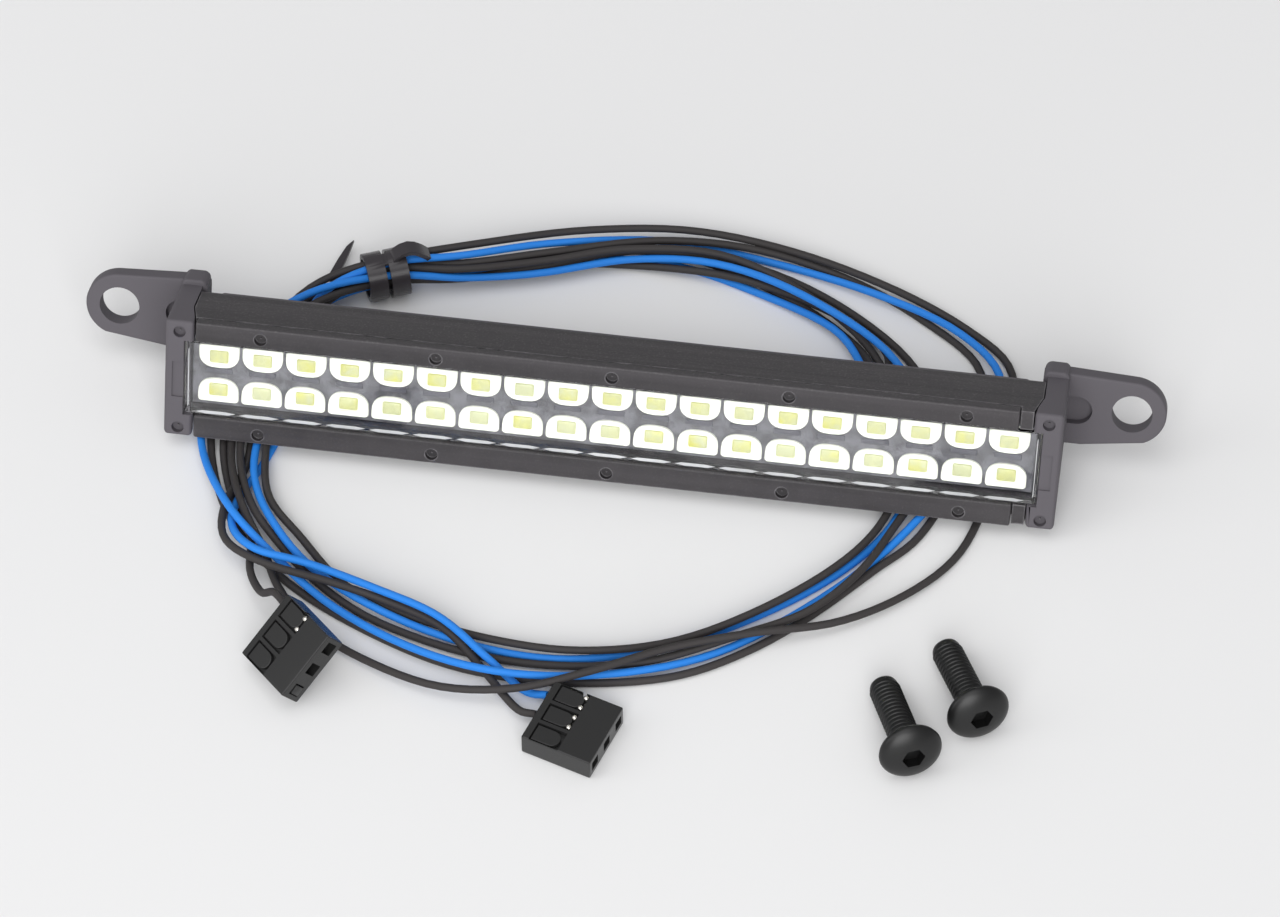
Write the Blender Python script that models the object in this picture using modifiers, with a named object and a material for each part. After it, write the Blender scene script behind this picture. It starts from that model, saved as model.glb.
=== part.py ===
"""Scale-model LED light bar with three leads, two socket housings, a tie and two loose screws.

Sizes are in millimetres and MM turns them into metres. The bar's own frame has x along the bar,
b from its front to its back and u up its front face. An empty leans it back and sets it on its leads.
"""

import math

import bmesh
import bpy
from mathutils import Euler, Matrix, Vector

MM = 0.001

# The bar as a whole
LEAN = math.radians(24.0)
BAR_Y = 7.76
RIDE = 1.7
HALF_BAR = 44.5
HEIGHT = 12.8
DEPTH = 10.8
SLOPE = math.tan(LEAN)
GAP = 0.3

# Housing, strips and caps
CAP_FRONT_X = 41.65
CAP_BACK_X = 42.35
WEDGE = (0.6, 3.5)
HOUSING_BACK = 7.75
WINDOW = (2.45, 10.65)
STRIP_ENDS = (-41.35, 40.15)
STRIP_THICK = 1.2
NECK = 0.3
LENS_X = 42.3
LENS = (2.65, 10.45)
LENS_FRONT = 0.35
LENS_BACK = 3.0
LENS_WALL = 0.45

# Ears
EAR_THICK = 1.8
EAR_X = 50.92
EAR_U = 9.2
EAR_RADIUS = 3.43
EAR_HOLE = 2.02
EAR_ROOT = (5.2, 13.0)
POCKET_ROOT = 44.56
POCKET_X = {-1: 44.7, 1: 45.5}
POCKET_RADIUS = 1.5
POCKET_U = 9.0

# Moulded bolt heads
BOLT_PITCH = 17.5
BOLT_ROWS = (1.0, 11.62)
CAP_BOLT_X = 43.08
BOLT_RADIUS = 0.38
GROOVE = 0.24
GROOVE_DEEP = 0.3

# LEDs
LED_COUNT = 19
LED_PITCH = 4.37
LED_SIZE = (4.05, 2.56)
LED_ROWS = {"top": 8.56, "bottom": 4.78}
LED_FRONT = 1.75
LED_BACK = 3.05
BOARD = (3.3, 4.2)

# Rear cover and gland
COVER = (8.05, 9.2)
GLAND_X = 25.1
GLAND_U = 7.12
GLAND = (9.5, 12.62)
GLAND_SIZE = (4.8, 2.6)

# Leads
LEAD = 0.77
LEAD_POINTS = 86

# Three-way socket housings: length along the leads, width, thickness
SOCKET = (7.35, 7.37, 2.5)
WAY = 2.54
WAY_HOLE = 1.24
WAY_DEEP = 5.0
LATCH = (1.5, 1.3, 0.5)
CONTACT = (3.6, 0.9)
SOCKET_1 = ((-26.84, -25.76, 3.70), (35.3, -8.4, -46.8))
SOCKET_2 = ((1.05, -29.85, 1.27), (0.0, 0.0, -18.0))

# Tie
TIE_AT = (-25.8, 22.9, 2.55)
TIE_TURN = 23.3
TIE_RADII = (1.96, 2.5)
TIE_WRAPS = (-1.15, 1.15)
TIE_WIDTH = 1.9

# Screws: shank radius, head radius, head height, length
SHANK = 1.5
HEAD = 3.13
HEAD_HIGH = 1.65
LENGTH = 9.2
HEX = 2.0
SCREW_TILT = 10.6
SCREWS = {"screw_left": ((33.4, -28.87), (-3.8, 9.1)), "screw_right": ((39.3, -23.46), (-4.2, 8.8))}

# Routes of the leads from the gland, round the bar, to the sockets: x, distance behind the bar's
# front edge, height of the middle of the lead
BLUE_ROUTE = [
    (24, 14.7, 3), (24, 16.9, 1.9), (20.3, 22.8, 1.3), (12.3, 27.1, 0.5), (3, 29.8, 0.4),
    (-7, 29.4, 0.4), (-16.7, 26, 0.5), (-25.3, 23.1, 1.3), (-32.1, 19, 0.9), (-35.1, 11.9, 0.4),
    (-35.2, 4.5, 0.6), (-34.7, -3.5, 1.6), (-31.7, -9.6, 2.1), (-26.5, -14.7, 1.6),
    (-18.6, -18.4, 0.8), (-10, -20.7, 0.5), (-1.5, -21.1, 0.4), (7.4, -18.8, 0.4), (15.5, -14.3, 0.4),
    (23.3, -7.9, 0.4), (28.4, -0.9, 0.4), (30.2, 6.5, 0.7), (29.7, 13.8, 1.4), (25.6, 20.1, 2.4),
    (16.6, 25.8, 2.7), (7.6, 29.2, 2.1), (-1.3, 29, 1.7), (-10.3, 25.9, 1.7), (-17.7, 23.9, 2.1),
    (-25.3, 22.1, 3.3), (-32.7, 18.3, 3.9), (-38.9, 13.6, 1.5), (-41.3, 6.5, 0.4), (-40.4, -0.9, 1.3),
    (-36.4, -8.7, 3.1), (-31.1, -13.6, 2.3), (-24.2, -18.5, 1.3), (-15.2, -22.9, 1.8),
    (-6.3, -24.7, 2.2), (3.1, -23, 1.3), (12.4, -19, 0.5), (20.2, -12.9, 0.4), (27.3, -5.2, 0.5),
    (32.2, 2.1, 1.1), (36, 9.9, 1.2), (37.5, 18.6, 1.2), (32.6, 24.2, 1.4), (23.5, 28.3, 1.2),
    (12.5, 31.6, 0.4), (1.6, 32.5, 0.9), (-9.3, 29.4, 2.5), (-18.2, 25.4, 3.8), (-25.6, 23.2, 3.9),
    (-31.5, 19.3, 3), (-33.4, 13.3, 1.3), (-32.7, 5.9, 0.7), (-34.1, -1, 0.4), (-35.7, -6.5, 1.2),
    (-35.5, -10.9, 2.3), (-32.6, -13.9, 3.1), (-27.2, -14.9, 3), (-20.4, -16.8, 2.8),
    (-13.7, -19.1, 2.5), (-8.2, -23, 1.8), (-4.4, -25.4, 0.6), (-1.9, -26.2, 1.3),
]
BLACK_2_ROUTE = [
    (25.1, 14.7, 3), (25.1, 16.9, 1.9), (22.3, 21.8, 0.6), (15.4, 26.8, 0.4), (5.1, 30.7, 0.6),
    (-5.7, 29.7, 1.7), (-16.6, 25.5, 2.1), (-26, 23.1, 2), (-31.3, 18.9, 1.8), (-33.9, 12.7, 0.4),
    (-34.4, 5.5, 0.8), (-34, -1.1, 1.3), (-32.6, -6.4, 1.6), (-28.9, -10.3, 1.1), (-23.6, -15.3, 0.7),
    (-16.6, -18.1, 0.6), (-8.4, -20, 0.9), (0.1, -20.5, 1.3), (8.6, -18.4, 1.3), (16.1, -14, 1.4),
    (23.2, -7.6, 1.3), (27.4, -1.3, 1.1), (28.9, 6.1, 0.6), (28, 13.6, 0.4), (23.7, 21.4, 1.1),
    (16.4, 26.7, 2.1), (7.8, 30.2, 2.4), (-1.7, 29.5, 2.7), (-10.2, 26.6, 2.8), (-18.1, 24.1, 3.2),
    (-25.8, 23.2, 3), (-32.5, 19.4, 2.3), (-37.4, 14, 1.4), (-40, 7, 0.8), (-39.7, -0.1, 0.5),
    (-36.8, -7.6, 0.4), (-31.8, -13.5, 0.4), (-25, -18.2, 0.4), (-15.2, -22.4, 0.4),
    (-7.3, -23.9, 0.4), (1.6, -23.6, 0.4), (9.9, -21.6, 0.4), (16.4, -17.7, 0.4), (22, -12.6, 0.4),
    (27.5, -6.3, 0.5), (31.4, -1.5, 0.4), (34.2, 5.9, 0.4), (35.6, 13.1, 0.4), (35.1, 20.6, 0.4),
    (29.1, 25.9, 0.4), (20.9, 30.3, 0.5), (11, 32.4, 1.2), (1.1, 31.5, 2.1), (-9.2, 28, 2.8),
    (-18.3, 25, 3), (-26.2, 24.2, 2.6), (-32.2, 20.2, 1.5), (-35.6, 12.9, 1.2), (-36.1, 5.7, 0.8),
    (-35.8, -1.6, 0.5), (-36.8, -7.9, 1.8), (-35.9, -12.4, 2.1), (-31.5, -15.2, 2.7),
    (-24.6, -16.5, 2.5), (-18.2, -17.7, 1.7), (-12.9, -19.8, 1.4), (-8.6, -23.9, 1.2),
    (-4.8, -27.9, 1.1), (-2.7, -28.6, 1.3),
]
BLACK_1_ROUTE = [
    (26.2, 14.7, 3), (26.2, 16.9, 1.9), (25.2, 21.6, 0.9), (19, 25.6, 1), (9, 28.3, 1.4),
    (-3.2, 28.9, 0.7), (-14.4, 26.7, 1.3), (-26.1, 23.9, 1.7), (-32.1, 20.4, 0.5), (-36, 13.8, 0.4),
    (-36.9, 6, 0.5), (-36.5, -1.2, 1.4), (-34.4, -7.3, 2.1), (-31.3, -11, 1.3), (-26.5, -15.2, 0.6),
    (-20.2, -18.9, 0.4), (-11, -21.6, 0.5), (-2, -22.1, 0.6), (6.9, -20.7, 1), (15.5, -16.5, 1.3),
    (21.8, -12.8, 1.5), (26.3, -7.3, 1.6), (29.2, -0.5, 1.2), (31.6, 6, 0.7), (31.6, 13.6, 0.4),
    (27.5, 21.1, 0.5), (18.6, 27.5, 0.7), (9, 30.4, 1.3), (-1.5, 29.9, 1.9), (-10.4, 26.8, 1.7),
    (-18.2, 24.4, 1.3), (-25.5, 22.2, 2.2), (-32.1, 17.4, 3.4), (-37, 12.3, 1.1), (-38, 5.4, 0.4),
    (-37.3, -1.8, 1.5), (-35, -8.2, 2.5), (-32.1, -12.7, 1.6), (-30, -16.5, 0.8), (-26.4, -20.3, 0.5),
    (-20.8, -23.8, 0.8), (-12.9, -26.6, 1.4), (-5.2, -26.4, 2.1), (1.6, -23.7, 2.4), (8.9, -19.7, 2.2),
    (16.7, -16.6, 2), (24.6, -13.6, 1.2), (30.9, -9, 0.7), (35.4, -3.3, 0.4), (37.6, 4, 0.4),
    (38.9, 12, 0.4), (38.4, 20.5, 0.5), (33.5, 25.1, 0.8), (25.2, 29.2, 1.2), (14.8, 32.4, 1.5),
    (4.2, 33.7, 1.6), (-6.3, 31.9, 2.1), (-16.3, 27.9, 3.2), (-26.4, 23.7, 3.6), (-33, 20.5, 2.2),
    (-37.2, 14.4, 0.6), (-38.9, 7.2, 0.5), (-38.5, 0.1, 0.6), (-36.6, -5.7, 0.4), (-33.8, -10.7, 1.2),
    (-32.9, -15.6, 1.8), (-31.2, -18.8, 2.8), (-29.7, -19.7, 4.2), (-28.2, -21.3, 4.5),
]

FRONT_VIEW = Matrix.Rotation(math.radians(90.0), 4, "X")
END_VIEW = Euler((math.radians(90.0), 0.0, math.radians(90.0))).to_matrix().to_4x4()
TOP_VIEW = Matrix.Identity(4)


def clear_scene():
    for old in list(bpy.data.objects):
        bpy.data.objects.remove(old, do_unlink=True)


def collection(name):
    made = bpy.data.collections.new(name)
    bpy.context.scene.collection.children.link(made)
    return made


def material(name, colour, roughness, metallic=0.0, clear=0.0):
    made = bpy.data.materials.new(name)
    made.use_nodes = True
    shader = made.node_tree.nodes["Principled BSDF"]
    shader.inputs["Base Color"].default_value = (*colour, 1.0)
    shader.inputs["Roughness"].default_value = roughness
    shader.inputs["Metallic"].default_value = metallic
    shader.inputs["Transmission Weight"].default_value = clear
    return made


def charcoal_plastic():
    return material("charcoal_plastic", (0.095, 0.088, 0.098), 0.55)


def clear_plastic():
    return material("clear_plastic", (0.95, 0.96, 0.97), 0.06, clear=0.95)


def led_ceramic():
    return material("led_ceramic", (0.86, 0.87, 0.78), 0.4)


def board_mask():
    return material("board_mask", (0.36, 0.37, 0.38), 0.45)


def black_insulation():
    return material("black_insulation", (0.03, 0.028, 0.027), 0.42)


def blue_insulation():
    return material("blue_insulation", (0.01, 0.21, 0.72), 0.4)


def socket_plastic():
    return material("socket_plastic", (0.018, 0.018, 0.02), 0.32)


def contact_metal():
    return material("contact_metal", (0.72, 0.7, 0.66), 0.3, 1.0)


def tie_plastic():
    return material("tie_plastic", (0.035, 0.033, 0.035), 0.36)


def black_oxide():
    return material("black_oxide", (0.045, 0.043, 0.045), 0.38, 0.8)


def outline_mesh(name, loops, thickness, turn=TOP_VIEW, at=(0.0, 0.0, 0.0)):
    """A flat outline, with any holes, thickened both ways from its plane and turned to its view."""
    flat = bpy.data.curves.new(name, "CURVE")
    flat.dimensions = "2D"
    flat.fill_mode = "BOTH"
    flat.extrude = 0.5 * thickness * MM
    for loop in loops:
        spline = flat.splines.new("POLY")
        spline.points.add(len(loop) - 1)
        for point, (p, q) in zip(spline.points, loop):
            point.co = (p * MM, q * MM, 0.0, 1.0)
        spline.use_cyclic_u = True
    helper = bpy.data.objects.new(name, flat)
    bpy.context.scene.collection.objects.link(helper)
    graph = bpy.context.evaluated_depsgraph_get()
    mesh = bpy.data.meshes.new_from_object(helper.evaluated_get(graph))
    bpy.data.objects.remove(helper)
    bpy.data.curves.remove(flat)
    work = bmesh.new()
    work.from_mesh(mesh)
    bmesh.ops.remove_doubles(work, verts=work.verts, dist=1e-6)
    bmesh.ops.recalc_face_normals(work, faces=work.faces)
    work.to_mesh(mesh)
    work.free()
    mesh.name = name
    mesh.transform(Matrix.Translation([c * MM for c in at]) @ turn)
    return mesh


def box_mesh(name, low, high):
    """A block between two corners."""
    mesh = bpy.data.meshes.new(name)
    work = bmesh.new()
    size = Vector(high) - Vector(low)
    middle = (Vector(high) + Vector(low)) / 2
    place = Matrix.Translation(middle * MM) @ Matrix.Diagonal((*(size * MM), 1.0))
    bmesh.ops.create_cube(work, size=1.0, matrix=place)
    work.to_mesh(mesh)
    work.free()
    return mesh


def arc(centre, radius, first, last, steps):
    """Points on an arc from one angle to another, in degrees, both ends included."""
    angles = [math.radians(first + (last - first) * i / steps) for i in range(steps + 1)]
    return [(centre[0] + radius * math.cos(a), centre[1] + radius * math.sin(a)) for a in angles]


def circle(centre, radius, sides):
    return arc(centre, radius, 0.0, 360.0 * (sides - 1) / sides, sides - 1)


def mirrored(loop, side):
    return loop if side > 0 else [(-p, q) for p, q in reversed(loop)]


def piece(name, mesh, paint, parent, parts):
    made = bpy.data.objects.new(name, mesh)
    made.parent = parent
    parts.objects.link(made)
    mesh.materials.clear()
    mesh.materials.append(paint)
    return made


def cutter(name, mesh, parent, cutters):
    made = bpy.data.objects.new(name, mesh)
    made.parent = parent
    made.hide_render = True
    made.display_type = "WIRE"
    cutters.objects.link(made)
    return made


def boolean(target, operand, operation):
    step = target.modifiers.new(operation.lower(), "BOOLEAN")
    step.operation = operation
    step.solver = "EXACT"
    step.object = operand


def bevel(target, width, segments=1):
    step = target.modifiers.new("edges", "BEVEL")
    step.width = width * MM
    step.segments = segments
    step.limit_method = "ANGLE"
    step.angle_limit = math.radians(50.0)


def joined_outline_meshes(name, meshes):
    """Separate closed shapes in one mesh, for cutters that work at the same time."""
    whole = bpy.data.meshes.new(name)
    work = bmesh.new()
    for mesh in meshes:
        work.from_mesh(mesh)
        bpy.data.meshes.remove(mesh)
    work.to_mesh(whole)
    work.free()
    return whole


def bolt_grooves(name, centres, parent, cutters):
    """Ring cutters that leave each bolt head standing in its groove."""
    rings = []
    for x, u in centres:
        outer = circle((x, u), BOLT_RADIUS + GROOVE, 16)
        inner = circle((x, u), BOLT_RADIUS, 16)
        rings.append(outline_mesh(name, [outer, inner], 2 * GROOVE_DEEP, FRONT_VIEW))
    return cutter(name, joined_outline_meshes(name, rings), parent, cutters)


def wedge_outline(outer_x, clearance):
    """Plan of the space inside a cap, or of what is cut from the housing's end."""
    near = CAP_FRONT_X - clearance
    far = CAP_BACK_X - clearance
    return [(outer_x, -1.0), (near, -1.0), (near, WEDGE[0]), (far, WEDGE[1]), (far, 14.0), (outer_x, 14.0)]


def housing(bar, parts, cutters, paint):
    """The long channel: top wall, back wall and slanted underside."""
    wall = 1.05
    outer = [
        (NECK, SLOPE * NECK + 0.1),
        (NECK, HEIGHT - 0.05),
        (HOUSING_BACK - 0.65, HEIGHT - 0.05),
        (HOUSING_BACK, HEIGHT - 0.7),
        (HOUSING_BACK, SLOPE * HOUSING_BACK + 0.1),
    ]
    channel_long = 2 * (CAP_BACK_X - GAP)
    body = piece("housing", outline_mesh("housing", [outer], channel_long, END_VIEW), paint, bar, parts)
    bevel(body, 0.2)
    front, back = -1.0, HOUSING_BACK - wall
    kink = 2.8
    channel = [
        (front, WINDOW[0] - 0.1),
        (kink, WINDOW[0] - 0.1),
        (back, SLOPE * back + 1.2),
        (back, WINDOW[1] + 0.1),
        (front, WINDOW[1] + 0.1),
    ]
    inside = cutter("channel", outline_mesh("channel", [channel], 90.0, END_VIEW), bar, cutters)
    boolean(body, inside, "DIFFERENCE")
    seat = box_mesh("strip_seat", (-43.0, -1, -1), (STRIP_ENDS[1] + GAP, STRIP_THICK + GAP, HEIGHT + 1))
    boolean(body, cutter("strip_seat", seat, bar, cutters), "DIFFERENCE")
    for side in (-1, 1):
        plan = mirrored(wedge_outline(50.0, GAP), side)
        name = "housing_end_left" if side < 0 else "housing_end_right"
        end = cutter(name, outline_mesh(name, [plan], 40.0), bar, cutters)
        boolean(body, end, "DIFFERENCE")


def strips(bar, parts, cutters, paint):
    """The two flat strips that hold the lens, each with five moulded bolt heads."""
    spans = {"top_strip": (WINDOW[1], HEIGHT), "bottom_strip": (0.0, WINDOW[0])}
    for (name, (low, high)), row in zip(spans.items(), reversed(BOLT_ROWS)):
        back_low = max(low, SLOPE * STRIP_THICK + 0.02)
        section = [(0.0, low), (0.0, high), (STRIP_THICK, high), (STRIP_THICK, back_low)]
        first, last = STRIP_ENDS
        mesh = outline_mesh(name, [section], last - first, END_VIEW, ((first + last) / 2, 0, 0))
        body = piece(name, mesh, paint, bar, parts)
        bevel(body, 0.12)
        centres = [(BOLT_PITCH * i, row) for i in range(-2, 3)]
        boolean(body, bolt_grooves(name + "_grooves", centres, bar, cutters), "DIFFERENCE")


def cap_section():
    """End view of a cap, from its front foot round to its back foot."""
    return [
        (0.0, 0.0),
        (0.0, HEIGHT),
        (DEPTH - 0.7, HEIGHT),
        (DEPTH, HEIGHT - 0.7),
        (DEPTH, SLOPE * DEPTH),
    ]


def ear_outline():
    """Front view of the ear: a root inside the cap and a round end about the hole."""
    root = HALF_BAR - 1.0
    end = arc((EAR_X, EAR_U), EAR_RADIUS, 66.0 - 132.0, 84.0, 20)
    return [(root, EAR_ROOT[0]), (HALF_BAR + 1.6, EAR_ROOT[0]), *end, (root, EAR_ROOT[1])]


def hump_outline():
    """Front view of the raised back of a cap, with its round inner shoulder."""
    shoulder = arc((42.65, 12.65), 0.7, 180, 90, 6)
    return [(41.95, 11.5), *shoulder, (44.1, 13.35), (HALF_BAR - 0.02, 12.95), (HALF_BAR - 0.02, 11.5)]


def cap(side, bar, parts, cutters, paint):
    """One end cap with its ear, notched for the lens."""
    name = "left_end_cap" if side < 0 else "right_end_cap"
    width = HALF_BAR - CAP_FRONT_X
    middle = side * (HALF_BAR + CAP_FRONT_X) / 2
    body = piece(name, outline_mesh(name, [cap_section()], width, END_VIEW, (middle, 0, 0)), paint, bar, parts)
    bevel(body, 0.3, 2)
    ear_mesh = outline_mesh(
        name + "_ear",
        [mirrored(ear_outline(), side)],
        EAR_THICK,
        FRONT_VIEW,
        (0, DEPTH - EAR_THICK / 2 - 0.02, 0),
    )
    boolean(body, cutter(name + "_ear", ear_mesh, bar, cutters), "UNION")
    hump = outline_mesh(
        name + "_hump", [mirrored(hump_outline(), side)], 2.6, FRONT_VIEW, (0, DEPTH - 1.35, 0)
    )
    boolean(body, cutter(name + "_hump", hump, bar, cutters), "UNION")
    hole = circle((side * EAR_X, EAR_U), EAR_HOLE, 32)
    pocket = [
        (POCKET_ROOT, POCKET_U - POCKET_RADIUS),
        *arc((POCKET_X[side], POCKET_U), POCKET_RADIUS, -90, 90, 10),
        (POCKET_ROOT, POCKET_U + POCKET_RADIUS),
    ]
    space = [(38.0, WEDGE[0]), (CAP_FRONT_X, WEDGE[0]), (CAP_BACK_X, WEDGE[1]), (CAP_BACK_X, 8.1)]
    space += [(41.9, 8.1), (41.9, 14.0), (38.0, 14.0)]
    cuts = {
        "hole": outline_mesh("hole", [hole], 8.0, FRONT_VIEW, (0, DEPTH, 0)),
        "pocket": outline_mesh(
            "pocket", [mirrored(pocket, side)], 0.8, FRONT_VIEW, (0, DEPTH - EAR_THICK - 0.02, 0)
        ),
        "inside": outline_mesh("inside", [mirrored(space, side)], 40.0),
        "lens_notch": box_mesh(
            "lens_notch",
            (min(side * 40.0, side * (LENS_X + GAP)), -1.0, WINDOW[0]),
            (max(side * 40.0, side * (LENS_X + GAP)), LENS_BACK + GAP, WINDOW[1]),
        ),
    }
    for label, mesh in cuts.items():
        boolean(body, cutter(name + "_" + label, mesh, bar, cutters), "DIFFERENCE")
    centres = [(side * CAP_BOLT_X, u) for u in BOLT_ROWS]
    boolean(body, bolt_grooves(name + "_grooves", centres, bar, cutters), "DIFFERENCE")


def lens(bar, parts, cutters, paint):
    """The clear front, a shallow tray open towards the LEDs."""
    body = piece(
        "lens", box_mesh("lens", (-LENS_X, LENS_FRONT, LENS[0]), (LENS_X, LENS_BACK, LENS[1])), paint, bar, parts
    )
    bevel(body, 0.12)
    hollow = box_mesh(
        "lens_hollow",
        (-LENS_X + LENS_WALL, LENS_FRONT + 0.85, LENS[0] + LENS_WALL),
        (LENS_X - LENS_WALL, LENS_BACK + 1.0, LENS[1] - LENS_WALL),
    )
    boolean(body, cutter("lens_hollow", hollow, bar, cutters), "DIFFERENCE")


def led_outline(row):
    """Front view of a package: one straight side away from the middle line, one arched side."""
    half_w, half_h = LED_SIZE[0] / 2, LED_SIZE[1] / 2
    toward = -1.0 if row == "top" else 1.0
    angles = [math.radians(a) for a in range(30, 151, 12)]
    arch = [(half_w * math.cos(a), half_h * (2.0 * math.sin(a) - 1.0)) for a in angles]
    loop = [(-half_w, -half_h), (half_w, -half_h), (half_w, 0.0), *arch, (-half_w, 0.0)]
    return loop if toward > 0 else [(p, -q) for p, q in reversed(loop)]


def leds(bar, parts, paint):
    """Two rows of packages on the board."""
    for row, u in LED_ROWS.items():
        for i in range(LED_COUNT):
            name = f"led_{row}_{i + 1:02d}"
            mesh = outline_mesh(name, [led_outline(row)], LED_BACK - LED_FRONT, FRONT_VIEW)
            body = piece(name, mesh, paint, bar, parts)
            x = (i - (LED_COUNT - 1) / 2) * LED_PITCH
            body.location = (x * MM, (LED_FRONT + LED_BACK) / 2 * MM, u * MM)


def led_board(bar, parts, paint):
    mesh = box_mesh("led_board", (-41.8, BOARD[0], 3.2), (41.8, BOARD[1], 10.45))
    piece("led_board", mesh, paint, bar, parts)


def rear_cover(bar, parts, cutters, paint):
    """The plate that closes the back of the housing, with a shallow panel."""
    plate = box_mesh("rear_cover", (-40.6, COVER[0], 4.5), (40.6, COVER[1], 11.9))
    body = piece("rear_cover", plate, paint, bar, parts)
    bevel(body, 0.3)
    panel = box_mesh("cover_panel", (-20.0, COVER[1] - 0.25, 5.8), (18.0, COVER[1] + 1, 10.6))
    boolean(body, cutter("cover_panel", panel, bar, cutters), "DIFFERENCE")


def gland(bar, parts, paint):
    """The flat boot that the three leads leave through."""
    half, radius = GLAND_SIZE[0] / 2, GLAND_SIZE[1] / 2
    shift = half - radius
    loop = arc((GLAND_X + shift, GLAND_U), radius, -90, 90, 8)
    loop += arc((GLAND_X - shift, GLAND_U), radius, 90, 270, 8)
    middle = (GLAND[0] + GLAND[1]) / 2
    mesh = outline_mesh("outlet_gland", [loop], GLAND[1] - GLAND[0], FRONT_VIEW, (0, middle, 0))
    piece("outlet_gland", mesh, paint, bar, parts)


def smooth_point(points, t):
    """A point on the smooth curve through a route's points, at a place counted in points."""
    i = min(int(t), len(points) - 2)
    f = t - i
    before = points[i - 1] if i > 0 else points[0] * 2 - points[1]
    after = points[i + 2] if i + 2 < len(points) else points[-1] * 2 - points[-2]
    weights = (
        (-(f**3) + 2 * f * f - f) / 2,
        (3 * f**3 - 5 * f * f + 2) / 2,
        (-3 * f**3 + 4 * f * f + f) / 2,
        (f**3 - f * f) / 2,
    )
    return sum((p * w for p, w in zip((before, points[i], points[i + 1], after), weights)), Vector((0, 0, 0)))


def lead(name, route, paint, parts, layout):
    """One lead: a round tube read from the smooth curve through its route."""
    points = [Vector(p) for p in route]
    tube = bpy.data.curves.new(name, "CURVE")
    tube.dimensions = "3D"
    tube.bevel_depth = LEAD / 2 * MM
    tube.bevel_resolution = 2
    tube.use_fill_caps = True
    spline = tube.splines.new("POLY")
    spline.points.add(LEAD_POINTS - 1)
    for i, point in enumerate(spline.points):
        place = smooth_point(points, i * (len(points) - 1) / (LEAD_POINTS - 1))
        point.co = (*(place * MM), 1.0)
    tube.materials.append(paint)
    made = bpy.data.objects.new(name, tube)
    made.parent = layout
    parts.objects.link(made)


def socket_frame(name, place, layout, parts):
    """An empty at the middle of a socket housing: x runs from the leads to the mating end."""
    made = bpy.data.objects.new(name + "_frame", None)
    made.parent = layout
    made.location = Vector(place[0]) * MM
    made.rotation_euler = [math.radians(a) for a in place[1]]
    parts.objects.link(made)
    return made


def socket(name, frame, parts, cutters, paint):
    """A three-way housing, open at its mating end, with three latch windows near the leads."""
    half = Vector(SOCKET) / 2
    body = piece(name, box_mesh(name, -half, half), paint, frame, parts)
    bevel(body, 0.15)
    holes = []
    for way in (-1, 0, 1):
        y = way * WAY
        side = WAY_HOLE / 2
        holes.append(box_mesh("way", (half.x - WAY_DEEP, y - side, -side), (half.x + 1, y + side, side)))
    boolean(body, cutter(name + "_ways", joined_outline_meshes("ways", holes), frame, cutters), "DIFFERENCE")
    latches = []
    for way in (-1, 0, 1):
        x, y = -half.x + 1.9, way * WAY
        low = (x - LATCH[0] / 2, y - LATCH[1] / 2, half.z - LATCH[2])
        latches.append(box_mesh("latch", low, (x + LATCH[0] / 2, y + LATCH[1] / 2, half.z + 1)))
    boolean(body, cutter(name + "_latches", joined_outline_meshes("latches", latches), frame, cutters), "DIFFERENCE")


def contact(name, way, frame, parts, paint):
    """A crimp contact, folded from strip, inside one way of a socket housing."""
    side, wall = CONTACT[1] / 2, 0.18
    section = [
        (-side, -side), (side, -side), (side, side), (0.1, side),
        (0.1, side - wall), (side - wall, side - wall), (side - wall, wall - side), (wall - side, wall - side),
        (wall - side, side - wall), (-0.1, side - wall), (-0.1, side), (-side, side),
    ]
    back = SOCKET[0] / 2 - WAY_DEEP + 0.2
    at = (back + CONTACT[0] / 2, way * WAY, 0.0)
    piece(name, outline_mesh(name, [section], CONTACT[0], END_VIEW, at), paint, frame, parts)


def blanking_plug(frame, parts, paint):
    """The plug that fills the unused way of the first socket housing."""
    side, front = 0.5, SOCKET[0] / 2
    mesh = box_mesh("blanking_plug", (front - 3.6, -WAY - side, -side), (front + 0.15, -WAY + side, side))
    bevel(piece("blanking_plug", mesh, paint, frame, parts), 0.08)


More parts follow.
